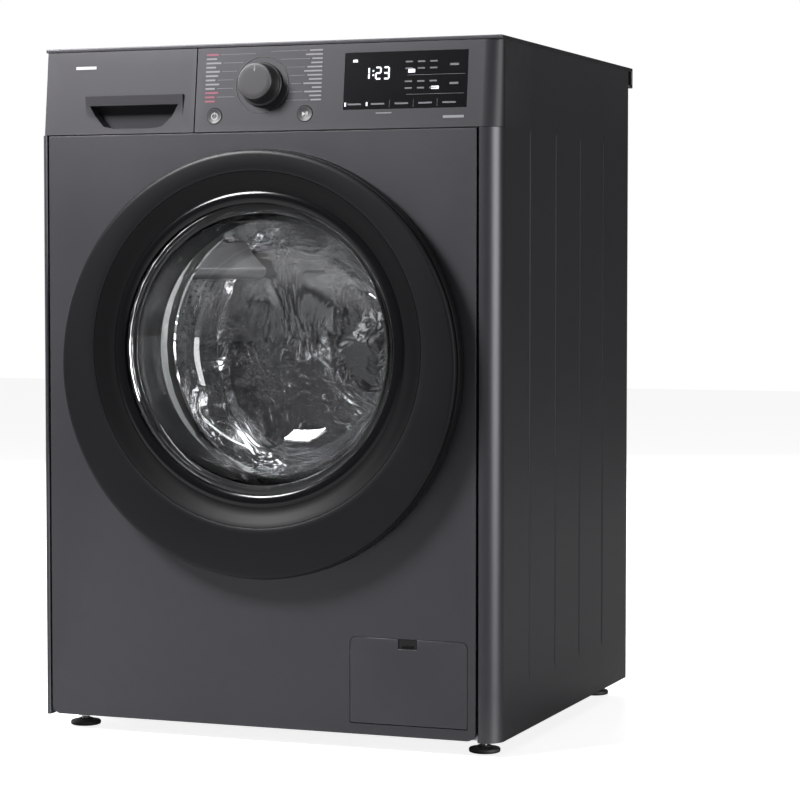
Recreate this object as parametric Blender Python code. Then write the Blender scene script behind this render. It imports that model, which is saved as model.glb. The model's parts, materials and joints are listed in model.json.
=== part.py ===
"""Front load washing machine, in metres, +Z up, front facing -Y, standing on the plane z = 0."""
import math

import bmesh
import bpy
from mathutils import Matrix, Vector

# Overall sizes
WIDTH = 0.600
HEIGHT = 0.850
DEPTH = 0.545  # cabinet, front panel to rear panel
OVERHANG = 0.020  # top plate behind the cabinet
DOOR_PROUD = 0.032  # door ring in front of the front panel
LIFT = 0.018  # cabinet above the floor
GAP = 0.0003  # between pieces that touch

# Cabinet
SHEET = 0.0012
CORNER = 0.022  # rounded right front corner, and how deep the console wraps both sides
LEFT_CORNER = 0.004  # the left one is folded tight
HEM = 0.014
REAR_FLANGE = 0.020
PANEL_INSET = 0.028  # front panel's edge from the cabinet's right side
LEFT_INSET = 0.009  # and from its left side
TOP_THICKNESS = 0.0045
TOP_FLANGE = 0.027
CONSOLE_HEIGHT = 0.107
CONSOLE_LEAN = 0.012
CONSOLE_WALL = 0.003
SEAM_GAP = 0.0015
BASE_HEIGHT = 0.0135
BASE_WALL = 0.014

# Door, coaxial with the drum apart from its outer ring
AXIS_DROP = 0.263  # drum axis below the console's seam
RING_DROP = 0.018  # ring centre below the drum axis
RING_RADIUS = 0.259
WINDOW_RADIUS = 0.176
PORT_RADIUS = 0.186  # hole in the front panel
PIN_RADIUS = 0.0025
PIN_INSET = 0.012  # hinge pin inside the ring's edge
PIN_PROUD = 0.018  # hinge pin in front of the front panel
KNUCKLE_SPREAD = 0.035
HOOK_X = 0.205

# Drum and tub, as radii and as distances behind the front panel
DRUM_RADIUS = 0.240
DRUM_FRONT = 0.105
DRUM_BACK = 0.385
DRUM_SHEET = 0.0015
DRUM_MOUTH = 0.172
TUB_RADIUS = 0.258
TUB_WALL = 0.0035
TUB_FRONT = 0.0935
TUB_SPLIT = 0.200
TUB_BACK = 0.420
TUB_TRAVEL = 0.012
SHAFT_RADIUS = 0.0172
BEARING_RADIUS = 0.026
LIFTERS = 3

# Controls, measured up and across the leaning console face
DIVIDER_X = -0.091
KNOB_AT = (-0.004, 0.0564)
KNOB_RADIUS = 0.027
KNOB_PROUD = 0.024
BUTTON_RADIUS = 0.0098
POWER_AT = (-0.065, 0.0192)
START_AT = (0.054, 0.0198)
DISPLAY_X = (0.103, 0.259)
DISPLAY_Z = (0.0232, 0.0916)

# Pump and filter
FILTER_X = 0.190
FILTER_Z = 0.085
COVER_X = (0.112, 0.262)
COVER_Z = (0.033, 0.137)
COVER_CORNER = 0.008  # its upper corners
COVER_FOOT = 0.001  # its lower corners, which have to turn inside the opening
FILTER_RADIUS = 0.028

# Feet
FOOT_INSET = 0.032
FOOT_FROM_FRONT = 0.045
FOOT_RADIUS = 0.019
STUD_RADIUS = 0.005

FRONT = -(DEPTH + OVERHANG - DOOR_PROUD) / 2
BACK = FRONT + DEPTH
HALF = WIDTH / 2
ROOF = HEIGHT - TOP_THICKNESS
SEAM = HEIGHT - CONSOLE_HEIGHT
AXIS_Z = SEAM - AXIS_DROP
RING_Z = AXIS_Z - RING_DROP
INSIDE = HALF - SHEET
PANEL_X = HALF - PANEL_INSET
BASE_TOP = LIFT + BASE_HEIGHT
LEAN_ANGLE = math.atan2(CONSOLE_LEAN, ROOF - SEAM)
CONSOLE = Matrix.Translation((0, FRONT, SEAM)) @ Matrix.Rotation(-LEAN_ANGLE, 4, "X")
PIN_X = GAP - RING_RADIUS + PIN_INSET
PIN_Y = FRONT - PIN_PROUD


def clear_scene():
    for obj in list(bpy.data.objects):
        bpy.data.objects.remove(obj)


def paint(name, colour, roughness, metallic=0.0):
    material = bpy.data.materials.new(name)
    material.use_nodes = True
    shader = material.node_tree.nodes["Principled BSDF"]
    shader.inputs["Base Color"].default_value = (*colour, 1)
    shader.inputs["Roughness"].default_value = roughness
    shader.inputs["Metallic"].default_value = metallic
    return material


def add(name, bm, finish, pivot=(0, 0, 0)):
    """Closes a bmesh into a named object with its origin at the pivot."""
    bmesh.ops.remove_doubles(bm, verts=bm.verts, dist=1e-6)
    bmesh.ops.recalc_face_normals(bm, faces=bm.faces)
    bm.transform(Matrix.Translation(-Vector(pivot)))
    mesh = bpy.data.meshes.new(name)
    bm.to_mesh(mesh)
    bm.free()
    mesh.shade_smooth()
    mesh.set_sharp_from_angle(angle=math.radians(35))
    mesh.materials.append(paint(name, *finish))
    obj = bpy.data.objects.new(name, mesh)
    obj.location = pivot
    bpy.context.collection.objects.link(obj)
    return obj


def prism(name, outline, axis, low, high, finish, pivot=(0, 0, 0)):
    """Extrudes a flat outline along X, Y or Z."""
    place = {
        "X": lambda u, v: (low, u, v),
        "Y": lambda u, v: (u, low, v),
        "Z": lambda u, v: (u, v, low),
    }[axis]
    bm = bmesh.new()
    face = bm.faces.new([bm.verts.new(place(u, v)) for u, v in outline])
    grown = bmesh.ops.extrude_face_region(bm, geom=[face])
    moved = [item for item in grown["geom"] if isinstance(item, bmesh.types.BMVert)]
    step = Vector([high - low if axis == letter else 0 for letter in "XYZ"])
    bmesh.ops.translate(bm, verts=moved, vec=step)
    return add(name, bm, finish, pivot)


def block(name, x, y, z, finish, pivot=(0, 0, 0)):
    outline = [(x[0], y[0]), (x[1], y[0]), (x[1], y[1]), (x[0], y[1])]
    return prism(name, outline, "Z", z[0], z[1], finish, pivot)


def turned(name, profile, centre, finish, axis="Y", steps=32, closed=True):
    """Spins a profile of (radius, distance along the axis) about an axis through the centre."""
    along = Vector((0, 1, 0)) if axis == "Y" else Vector((0, 0, 1))
    centre = Vector(centre)
    bm = bmesh.new()
    verts = [bm.verts.new(centre + Vector((r, 0, 0)) + d * along) for r, d in profile]
    ends = verts[1:] + verts[:1] if closed else verts[1:]
    edges = [bm.edges.new(pair) for pair in zip(verts, ends)]
    bmesh.ops.spin(
        bm, geom=verts + edges, cent=centre, axis=along, angle=math.tau, steps=steps, use_merge=True
    )
    return add(name, bm, finish, centre)


def rod(name, radius, centre, span, finish, axis="Y", steps=16):
    profile = [(0, span[0]), (radius, span[0]), (radius, span[1]), (0, span[1])]
    return turned(name, profile, centre, finish, axis, steps, closed=False)


def sleeve(name, bore, radius, centre, span, finish, axis="Y", steps=24):
    profile = [(bore, span[0]), (radius, span[0]), (radius, span[1]), (bore, span[1])]
    return turned(name, profile, centre, finish, axis, steps)


def hose(name, points, radius, finish):
    """A round hose through the points, smoothed as a Catmull-Rom curve."""
    route = [Vector(point) for point in points]
    route = [2 * route[0] - route[1], *route, 2 * route[-1] - route[-2]]
    smooth = []
    for before, start, end, after in zip(route, route[1:], route[2:], route[3:]):
        for step in range(3):
            t = step / 3
            smooth.append(
                (2 * start + (end - before) * t + (2 * before - 5 * start + 4 * end - after) * t**2
                 + (3 * start - before - 3 * end + after) * t**3) / 2
            )
    smooth.append(route[-2])
    curve = bpy.data.curves.new(name, "CURVE")
    curve.dimensions = "3D"
    curve.bevel_depth = radius
    curve.bevel_resolution = 2
    curve.use_fill_caps = True
    spline = curve.splines.new("POLY")
    spline.points.add(len(smooth) - 1)
    for point, place in zip(spline.points, smooth):
        point.co = (*place, 1)
    curve.materials.append(paint(name, *finish))
    obj = bpy.data.objects.new(name, curve)
    bpy.context.collection.objects.link(obj)


def boolean(target, other, operation):
    other.hide_render = True
    other.display_type = "WIRE"
    modifier = target.modifiers.new(operation.title(), "BOOLEAN")
    modifier.operation = operation
    modifier.object = other


def cut(target, *cutters):
    for cutter in cutters:
        boolean(target, cutter, "DIFFERENCE")


def unite(target, *others):
    for other in others:
        boolean(target, other, "UNION")


def strip(path, thickness):
    """A bent sheet's outline: its outer face, then its inner face to the right of the path."""
    path = [Vector(point) for point in path]
    inner = []
    for i, point in enumerate(path):
        first = (point - path[i - 1]).normalized() if i else (path[1] - point).normalized()
        last = i == len(path) - 1
        second = first if last else (path[i + 1] - point).normalized()
        mitre = Vector((first.y + second.y, -first.x - second.x))
        inner.append(point + mitre * (2 * thickness / mitre.length_squared))
    return [tuple(point) for point in path + inner[::-1]]


def arc(centre, radii, start, end, steps=8):
    """Points on an ellipse between two angles in degrees."""
    angles = [math.radians(start + (end - start) * i / steps) for i in range(steps + 1)]
    return [(centre[0] + radii[0] * math.cos(a), centre[1] + radii[1] * math.sin(a)) for a in angles]


PAINTED = ((0.062, 0.061, 0.068), 0.42, 0.35)
GLOSS_BLACK = ((0.006, 0.006, 0.007), 0.12)
PLASTIC = ((0.030, 0.030, 0.033), 0.45)
GALVANISED = ((0.48, 0.49, 0.50), 0.38, 0.9)
STAINLESS = ((0.58, 0.58, 0.59), 0.24, 1.0)
STEEL = ((0.42, 0.42, 0.43), 0.32, 1.0)
WHITE_PLASTIC = ((0.62, 0.63, 0.62), 0.5)
CONCRETE = ((0.34, 0.33, 0.31), 0.9)
RUBBER = ((0.16, 0.16, 0.165), 0.62)
GLASS = ((0.80, 0.83, 0.84), 0.03)
BOARD = ((0.02, 0.12, 0.05), 0.5)
COPPER = ((0.60, 0.25, 0.12), 0.35, 1.0)
CUTTER = ((0.5, 0.5, 0.5), 0.5)


def corner_radius(side):
    return CORNER if side > 0 else LEFT_CORNER


def side_panel(name, side):
    corner = corner_radius(side)
    hem_x = HALF - (PANEL_INSET if side > 0 else LEFT_INSET) + 0.003
    path = [(HALF - REAR_FLANGE, BACK), (HALF, BACK)]
    path += arc((HALF - corner, FRONT + corner), (corner, corner), 0, -90)
    path += [(hem_x, FRONT), (hem_x, FRONT + HEM)]
    outline = [(side * x, y) for x, y in strip(path, SHEET)]
    panel = prism(name, outline, "Z", LIFT, ROOF - GAP, PAINTED)
    reach = sorted((side * (hem_x - 0.01), side * (HALF + 0.01)))
    front = (FRONT - 0.01, FRONT + CORNER + GAP)
    cut(panel, block(f"{name}_notch", reach, front, (SEAM - GAP, HEIGHT), CUTTER))


def cabinet():
    side_panel("right_side_panel", 1)
    side_panel("left_side_panel", -1)
    plate_front = FRONT + CONSOLE_LEAN - 0.001
    path = [
        (plate_front, HEIGHT),
        (BACK + OVERHANG, HEIGHT),
        (BACK + OVERHANG, HEIGHT - TOP_FLANGE),
        (BACK + 2 * GAP, HEIGHT - TOP_FLANGE),
    ]
    prism("top_plate", strip(path, TOP_THICKNESS), "X", -HALF, HALF, PAINTED)
    rail_y = (FRONT + 0.300, FRONT + 0.340)
    block("top_rail", (-INSIDE + GAP, INSIDE - GAP), rail_y, (ROOF - 0.010, ROOF - GAP), GALVANISED)

    rear_y = (BACK - 2 * SHEET - GAP, BACK - SHEET - GAP)
    rear_x = INSIDE - GAP
    rear = block("rear_panel", (-rear_x, rear_x), rear_y, (BASE_TOP + GAP, ROOF - GAP), PAINTED)
    opening_z = (AXIS_Z - 0.180, AXIS_Z + 0.170)
    across = (rear_y[0] - 0.01, rear_y[1] + 0.01)
    cut(rear, block("service_opening", (-0.170, 0.170), across, opening_z, CUTTER))
    for name, radius, place in REAR_PORTS:
        cut(rear, rod(f"{name}_hole", radius + GAP, (place[0], 0, place[1]), across, CUTTER))
    cover_y = (rear_y[1] + GAP, rear_y[1] + 0.006)
    cover_z = (opening_z[0] - 0.010, opening_z[1] + 0.010)
    cover = block("rear_cover", (-0.180, 0.180), cover_y, cover_z, GALVANISED)
    bevel = cover.modifiers.new("Bevel", "BEVEL")
    bevel.width = 0.002

    base_x = INSIDE - 0.001
    base_y = (FRONT + HEM + 0.002, rear_y[0] - GAP)
    base = block("base_frame", (-base_x, base_x), base_y, (LIFT + GAP, BASE_TOP), GALVANISED)
    tray_y = (base_y[0] + BASE_WALL, base_y[1] - BASE_WALL)
    tray_x = base_x - BASE_WALL
    cut(base, block("base_tray", (-tray_x, tray_x), tray_y, (LIFT + 0.0035, 1), CUTTER))
    for x, y in foot_places():
        cut(base, rod("stud_hole", STUD_RADIUS + GAP, (x, y, 0), (0, 1), CUTTER, "Z"))


def foot_places():
    xs = (-HALF + FOOT_INSET, HALF - FOOT_INSET)
    return [(x, y) for y in (FRONT + FOOT_FROM_FRONT, BACK - FOOT_FROM_FRONT) for x in xs]


def feet():
    profile = [(0, 0), (FOOT_RADIUS - 0.001, 0), (FOOT_RADIUS, 0.0015), (FOOT_RADIUS, 0.0055)]
    profile += [(0.009, 0.0085), (STUD_RADIUS, 0.0085), (STUD_RADIUS, 0.042), (0, 0.042)]
    for number, (x, y) in enumerate(foot_places(), 1):
        turned(f"foot_{number}", profile, (x, y, 0), PLASTIC, "Z", 16, closed=False)


def panel_outline(inset):
    """The front panel's outline, drawn in by an inset. Its lower corners are rounded."""
    left, right = -HALF + LEFT_INSET, PANEL_X
    low, high = LIFT + 0.0015, SEAM - SEAM_GAP
    radius = 0.011
    turn = (radius - inset, radius - inset)
    outline = arc((right - radius, low + radius), turn, -90, 0, 5)
    outline += [(right - inset, high - inset), (left + inset, high - inset)]
    return outline + arc((left + radius, low + radius), turn, 180, 270, 5)


def rounded(x, z, upper, lower):
    """A rectangle's outline with rounded upper and lower corners."""
    outline = []
    for across, up, start in ((1, 0, -90), (1, 1, 0), (0, 1, 90), (0, 0, 180)):
        radius = (lower, upper)[up]
        centre = (x[across] + (radius, -radius)[across], z[up] + (radius, -radius)[up])
        outline += arc(centre, (radius, radius), start, start + 90, 4)
    return outline


def front_panel():
    panel = prism("front_panel", panel_outline(0), "Y", FRONT, FRONT + HEM, PAINTED)
    cut(panel, prism("pan_hollow", panel_outline(SHEET), "Y", FRONT + SHEET, FRONT + 1, CUTTER))
    y = (FRONT - 0.01, FRONT + 0.01)
    opening = rounded(COVER_X, (COVER_Z[0] - 0.0005, COVER_Z[1]), COVER_CORNER, COVER_FOOT)
    cut(panel, prism("filter_opening", opening, "Y", *y, CUTTER))
    hook_z = (AXIS_Z - 0.015, AXIS_Z + 0.015)
    cut(panel, block("hook_slot", (HOOK_X - 0.012, HOOK_X + 0.012), y, hook_z, CUTTER))
    for number, z in enumerate(knuckle_heights(), 1):
        slot_x = (PIN_X - 0.0025, PIN_X + 0.0025)
        cut(panel, block(f"hinge_slot_{number}", slot_x, y, (z - 0.007, z + 0.007), CUTTER))
    centre = (0, FRONT, AXIS_Z)
    unite(panel, sleeve("port_collar", PORT_RADIUS - 0.01, PORT_RADIUS + SHEET, centre, (0, 0.019),
                        CUTTER, steps=40))
    cut(panel, rod("port", PORT_RADIUS, centre, (-0.01, 0.03), CUTTER, steps=40))


def knuckle_heights():
    return (RING_Z - KNUCKLE_SPREAD, RING_Z + KNUCKLE_SPREAD)


def console_section(z, divider, corner):
    """The console's plan outline at one height, from the divider round a cabinet corner."""
    y = FRONT + CONSOLE_LEAN * (z - SEAM) / (ROOF - SEAM)
    end = FRONT + CORNER
    turn = arc((HALF - corner, end), (corner, end - y), 0, -90)
    return strip(turn + [(divider, y)], CONSOLE_WALL)


def console_shell(name, divider, side):
    """A leaning shell that wraps one corner of the cabinet."""
    bm = bmesh.new()
    rings = []
    for z in (SEAM, ROOF - GAP):
        outline = console_section(z, divider, corner_radius(side))
        rings.append([bm.verts.new((side * x, y, z)) for x, y in outline])
    count = len(rings[0])
    for i in range(count):
        j = (i + 1) % count
        bm.faces.new((rings[0][i], rings[0][j], rings[1][j], rings[1][i]))
    half = count // 2
    for ring in rings:
        for i in range(half - 1):
            bm.faces.new((ring[i], ring[i + 1], ring[count - 2 - i], ring[count - 1 - i]))
    return add(name, bm, PAINTED)


def on_console(obj):
    """Moves a piece drawn across and up the console face onto that leaning face."""
    obj.matrix_world = CONSOLE @ Matrix.Translation(obj.location)
    return obj


def controls():
    panel = console_shell("control_panel", DIVIDER_X, 1)
    window_x = (DISPLAY_X[0] + GAP, DISPLAY_X[1] - GAP)
    window_z = (DISPLAY_Z[0] + GAP, DISPLAY_Z[1] - GAP)
    opening = block("display_opening", DISPLAY_X, (-0.01, 0.02), DISPLAY_Z, CUTTER)
    cut(panel, on_console(opening))
    on_console(block("display_window", window_x, (0.0002, 0.0028), window_z, GLOSS_BLACK))
    board_z = (0.006, CONSOLE_HEIGHT - TOP_THICKNESS - 0.012)
    on_console(block("control_board", (-0.085, 0.265), (0.0160, 0.0176), board_z, BOARD))

    knob_place = (KNOB_AT[0], 0, KNOB_AT[1])
    cut(panel, on_console(rod("shaft_hole", 0.0045, knob_place, (-0.01, 0.02), CUTTER)))
    profile = [(0, -KNOB_PROUD), (KNOB_RADIUS - 0.005, -KNOB_PROUD)]
    profile += [(KNOB_RADIUS - 0.0042, -KNOB_PROUD + 0.001), (KNOB_RADIUS - 0.0035, -0.006)]
    profile += [(KNOB_RADIUS, -0.0045), (KNOB_RADIUS, -0.0006), (0.004, -0.0006)]
    profile += [(0.004, 0.0155), (0, 0.0155)]
    on_console(turned("programme_knob", profile, knob_place, PLASTIC, closed=False))

    for name, (x, z) in (("power_button", POWER_AT), ("start_button", START_AT)):
        place = (x, 0, z)
        hole = rod(f"{name}_hole", BUTTON_RADIUS + 0.0005, place, (-0.01, 0.02), CUTTER)
        cut(panel, on_console(hole))
        cap = [(0, -0.0010), (BUTTON_RADIUS, -0.0010), (BUTTON_RADIUS, CONSOLE_WALL + GAP)]
        cap += [(BUTTON_RADIUS + 0.002, CONSOLE_WALL + GAP), (BUTTON_RADIUS + 0.002, 0.0056)]
        cap += [(0, 0.0056)]
        on_console(turned(name, cap, place, PLASTIC, steps=16, closed=False))


SCOOP_X = (-0.235, -0.114)
SCOOP_Z = (0.006, 0.035)  # above the seam
TRAY_X = (-0.286, -0.106)
TRAY_FRONT = 0.0245
TRAY_LENGTH = 0.220
TRAY_HEIGHT = 0.074
TRAY_WALL = 0.002
TRAY_LIFT = 0.0095  # above the seam
HOUSING_WALL = 0.003
HOUSING_CLEAR = 0.0025


def drawer():
    front = console_shell("drawer_front", -DIVIDER_X + SEAM_GAP, -1)
    x0, x1 = SCOOP_X
    low, high = SEAM + SCOOP_Z[0], SEAM + SCOOP_Z[1]
    pocket_y = (FRONT + 0.0025, FRONT + TRAY_FRONT - GAP)
    pocket = block("scoop_pocket", (x0 - 0.006, x1 + 0.006), pocket_y, (low - 0.003, high + 0.012),
                   CUTTER)
    unite(front, pocket)
    boat = [(x0, high), (x0 + 0.007, low + 0.017), (x0 + 0.020, low + 0.003), (x0 + 0.035, low)]
    boat += [(x1 - 0.036, low), (x1 - 0.022, low + 0.002), (x1 - 0.008, low + 0.015), (x1, high)]
    depth = pocket_y[1] - 0.0025
    cut(front, prism("scoop", boat, "Y", FRONT - 0.01, depth, CUTTER))
    lip_z = (high - 0.010, high + 0.009)
    cut(front, block("finger_gap", (x0 + 0.003, x1 - 0.003), (FRONT + 0.0085, depth), lip_z, CUTTER))

    y = (FRONT + TRAY_FRONT, FRONT + TRAY_FRONT + TRAY_LENGTH)
    z = (SEAM + TRAY_LIFT, SEAM + TRAY_LIFT + TRAY_HEIGHT)
    tray = block("drawer_tray", TRAY_X, y, z, WHITE_PLASTIC)
    widths = (0.34, 0.28, 0.38)  # shares of the tray for prewash, softener and main wash
    start = TRAY_X[0]
    for number, share in enumerate(widths):
        end = start + share * (TRAY_X[1] - TRAY_X[0])
        low_x = start + (TRAY_WALL if number == 0 else TRAY_WALL / 2)
        high_x = end - (TRAY_WALL if number == 2 else TRAY_WALL / 2)
        inner_y = (y[0] + TRAY_WALL, y[1] - TRAY_WALL)
        well = block(f"well_{number}", (low_x, high_x), inner_y, (z[0] + TRAY_WALL, 1), CUTTER)
        cut(tray, well)
        start = end

    inner_x = (TRAY_X[0] - HOUSING_CLEAR, TRAY_X[1] + HOUSING_CLEAR)
    outer_x = (inner_x[0] - HOUSING_WALL, inner_x[1] + HOUSING_WALL)
    inner_z = (z[0] - HOUSING_CLEAR, ROOF - 0.0075)
    housing_y = (FRONT + 0.030, y[1] + 0.030)
    outer_z = (inner_z[0] - HOUSING_WALL, inner_z[1] + HOUSING_WALL)
    housing = block("dispenser_housing", outer_x, housing_y, outer_z, WHITE_PLASTIC)
    inner_y = (housing_y[0] - 0.01, housing_y[1] - HOUSING_WALL)
    cut(housing, block("drawer_bay", inner_x, inner_y, inner_z, CUTTER))
    hose_at = (-0.150, FRONT + 0.220, 0)
    reach = math.sqrt(TUB_RADIUS**2 - 0.134**2)
    span = (AXIS_Z + reach + 0.001, outer_z[0] - GAP)
    rod("dispenser_hose", 0.016, hose_at, span, RUBBER, "Z")


REAR_PORTS = (
    ("inlet_valve", 0.0140, (-0.220, HEIGHT - 0.060)),
    ("cord_gland", 0.0090, (0.240, HEIGHT - 0.110)),
    ("drain_hose", 0.0115, (0.255, HEIGHT - 0.160)),
)


def rear_fittings():
    for (name, radius, (x, z)), finish in zip(REAR_PORTS[:2], (WHITE_PLASTIC, PLASTIC)):
        inside = BACK - (0.045 if name == "inlet_valve" else 0.012)
        lip = BACK - 2 * SHEET - 2 * GAP
        profile = [(0, inside), (radius + 0.006, inside), (radius + 0.006, lip), (radius, lip)]
        profile += [(radius, BACK + 0.014), (0, BACK + 0.014)]
        turned(name, profile, (x, 0, z), finish, steps=24, closed=False)


def door():
    centre = (0, FRONT, AXIS_Z)
    edge = RING_RADIUS
    profile = [(0, -DOOR_PROUD), (edge - 0.0045, -DOOR_PROUD), (edge - 0.001, -DOOR_PROUD + 0.0015)]
    profile += [(edge, -DOOR_PROUD + 0.0045), (edge, -0.010), (edge - 0.0015, -0.005)]
    profile += [(edge - 0.0055, -0.0022), (edge - PIN_INSET, -0.0012), (0, -0.0012)]
    ring = turned("door_ring", profile, (0, FRONT, RING_Z), PLASTIC, steps=56, closed=False)
    channel_x = (PIN_X - 0.0045, PIN_X + 0.0065)
    channel_y = (PIN_Y - 0.0055, FRONT + 0.01)
    channel_z = (RING_Z - KNUCKLE_SPREAD - 0.010, RING_Z + KNUCKLE_SPREAD + 0.010)
    cut(ring, block("hinge_channel", channel_x, channel_y, channel_z, CUTTER))
    for number, z in enumerate(knuckle_heights(), 1):
        notch = block(f"hinge_notch_{number}", (-HALF, PIN_X), (PIN_Y - 0.0085, FRONT + 0.01),
                      (z - 0.008, z + 0.008), CUTTER)
        cut(ring, notch)
    dish = [(0, -0.04), (0.214, -0.04), (0.212, -DOOR_PROUD), (0.190, -0.025), (WINDOW_RADIUS, -0.024)]
    dish += [(WINDOW_RADIUS, 0.01), (0, 0.01)]
    cut(ring, turned("window_dish", dish, centre, CUTTER, steps=40, closed=False))
    cut(ring, rod("frame_pocket", 0.2165, centre, (-0.0125, 0.01), CUTTER, steps=40))
    rod("hinge_pin", PIN_RADIUS, (PIN_X, PIN_Y, 0), (channel_z[0] + GAP, channel_z[1] - GAP), STEEL,
        "Z", 12)

    plate_x = (PIN_X - 0.018, PIN_X + 0.020)
    plate_z = (RING_Z - 0.055, RING_Z + 0.055)
    bracket = block("hinge_bracket", plate_x, (FRONT + SHEET + GAP, FRONT + 0.004), plate_z, STEEL)
    for number, z in enumerate(knuckle_heights(), 1):
        span = (z - 0.006, z + 0.006)
        arm = block(f"arm_{number}", (PIN_X - 0.0015, PIN_X + 0.0015), (PIN_Y, FRONT + 0.003), span,
                    CUTTER)
        unite(bracket, arm)
        unite(bracket, rod(f"knuckle_{number}", 0.004, (PIN_X, PIN_Y, 0), span, CUTTER, "Z", 16))
    bore_z = (plate_z[0], plate_z[1])
    cut(bracket, rod("pin_bore", PIN_RADIUS + GAP, (PIN_X, PIN_Y, 0), bore_z, CUTTER, "Z", 16))

    frame = [(0.1685, -0.0060), (0.1752, -0.0060), (0.1752, -0.0122), (0.2155, -0.0122)]
    frame += [(0.2155, -0.0015), (0.180, -0.0015), (0.180, 0.012), (0.172, 0.012)]
    frame += [(0.172, -0.0015), (0.1685, -0.0015)]
    inner = turned("door_frame", frame, centre, PLASTIC, steps=40)
    hook_x = (HOOK_X - 0.009, HOOK_X + 0.009)
    pocket_z = (AXIS_Z - 0.0125, AXIS_Z + 0.0125)
    cut(inner, block("hook_pocket", hook_x, (FRONT - 0.02, FRONT + 0.01), pocket_z, CUTTER))

    bowl = [(0, 0.118), (0.050, 0.1165), (0.095, 0.112), (0.128, 0.100), (0.148, 0.075), (0.158, 0.043)]
    bowl += [(0.162, 0.020), (0.1672, -0.0065), (0.1748, -0.0065), (0.1748, -0.0120)]
    bowl += [(0.1625, -0.0120), (0.157, 0.018), (0.153, 0.040), (0.1435, 0.071), (0.1245, 0.0955)]
    bowl += [(0.0925, 0.107), (0.049, 0.1115), (0, 0.113)]
    turned("door_glass", bowl, centre, GLASS, steps=40, closed=False)

    hook_y = FRONT - 0.0118
    outline = [(HOOK_X - 0.004, hook_y), (HOOK_X + 0.004, hook_y), (HOOK_X + 0.004, FRONT + 0.022)]
    outline += [(HOOK_X - 0.0065, FRONT + 0.022), (HOOK_X - 0.004, FRONT + 0.014)]
    pivot = (HOOK_X, FRONT - 0.008, AXIS_Z)
    prism("door_hook", outline, "Z", AXIS_Z - 0.010, AXIS_Z + 0.010, STEEL, pivot)

    lock_x = (HOOK_X - 0.016, HOOK_X + 0.018)
    lock_z = (AXIS_Z - 0.038, AXIS_Z + 0.038)
    lock = block("door_lock", lock_x, (FRONT + SHEET + GAP, FRONT + 0.034), lock_z, PLASTIC)
    throat = ((HOOK_X - 0.012, HOOK_X + 0.012), (FRONT - 0.01, FRONT + 0.030))
    cut(lock, block("lock_throat", *throat, (AXIS_Z - 0.015, AXIS_Z + 0.015), CUTTER))
    cut(lock, rod("collar_clearance", PORT_RADIUS + SHEET + 0.001, centre, (-0.01, 0.05), CUTTER,
                  steps=40))

    gasket = [(0.180, 0.0195), (0.1955, 0.0195), (0.1955, 0.026), (0.190, 0.028), (0.190, 0.064)]
    gasket += [(0.1955, 0.066), (0.1955, 0.078), (0.187, 0.078), (0.187, 0.068), (0.183, 0.066)]
    gasket += [(0.183, 0.048), (0.161, 0.047), (0.161, 0.042), (0.183, 0.041), (0.183, 0.028)]
    gasket += [(0.180, 0.026)]
    seal = turned("door_gasket", gasket, centre, RUBBER, steps=40)
    back = block("lock_relief", (lock_x[0] - 0.001, 0.25), (FRONT, FRONT + 0.035),
                 (lock_z[0] - 0.001, lock_z[1] + 0.001), CUTTER)
    cut(seal, back)


def tub():
    centre = (0, FRONT, AXIS_Z)
    bore = TUB_RADIUS - TUB_WALL
    neck = [(0.180, 0.0785), (0.198, 0.0785), (0.198, TUB_FRONT), (TUB_RADIUS, TUB_FRONT)]
    neck += [(TUB_RADIUS, TUB_SPLIT), (bore, TUB_SPLIT), (bore, TUB_FRONT + TUB_WALL)]
    neck += [(0.180, TUB_FRONT + TUB_WALL)]
    turned("tub_front", neck, centre, WHITE_PLASTIC, steps=36)
    hub = BEARING_RADIUS + GAP
    hub_front = DRUM_BACK + 0.015
    hub_back = TUB_BACK + 0.030
    shell = [(TUB_RADIUS, TUB_SPLIT + GAP), (TUB_RADIUS, TUB_BACK), (0.045, TUB_BACK)]
    shell += [(0.045, hub_back), (hub, hub_back), (hub, hub_front), (0.045, hub_front)]
    shell += [(0.060, TUB_BACK - TUB_WALL), (bore, TUB_BACK - TUB_WALL), (bore, TUB_SPLIT + GAP)]
    turned("tub_rear", shell, centre, WHITE_PLASTIC, steps=36)
    journal = SHAFT_RADIUS + GAP
    spans = {
        "shaft_seal": (hub_front + 0.0005, hub_front + 0.008),
        "front_bearing": (hub_front + 0.0085, hub_front + 0.0205),
        "rear_bearing": (hub_back - 0.014, hub_back - 0.002),
    }
    for name, span in spans.items():
        finish = RUBBER if name == "shaft_seal" else STEEL
        sleeve(name, journal, BEARING_RADIUS, centre, span, finish, steps=20)
    sleeve("stator", 0.050, 0.105, centre, (TUB_BACK + GAP, TUB_BACK + 0.025), COPPER, steps=28)

    top = AXIS_Z + TUB_RADIUS + 0.055
    radius = TUB_RADIUS + 0.001
    outline = arc((0, AXIS_Z), (radius, radius), 110, 45, 12)
    outline += [(outline[-1][0], top), (outline[0][0], top)]
    prism("upper_counterweight", outline, "Y", FRONT + 0.130, FRONT + 0.400, CONCRETE)
    weight = (TUB_FRONT - 0.040, TUB_FRONT - GAP)
    sleeve("front_counterweight", 0.212, 0.252, centre, weight, CONCRETE, steps=36)

    low = AXIS_Z - (DRUM_RADIUS + TUB_RADIUS - TUB_WALL) / 2
    half_loop = 0.020
    back, near = FRONT + TUB_BACK - 0.012, FRONT + TUB_SPLIT + 0.010 + half_loop
    bend = [(x, y, low) for x, y in arc((0, near), (half_loop, half_loop), 180, 360, 6)]
    run = [near + ahead for ahead in (0.120, 0.056, 0.024, 0.010)]
    there = [(-half_loop, y, low) for y in (back, *run)]
    again = [(half_loop, y, low) for y in (*reversed(run), back)]
    hose("heater", [*there, *bend, *again], 0.003, STEEL)


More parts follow.
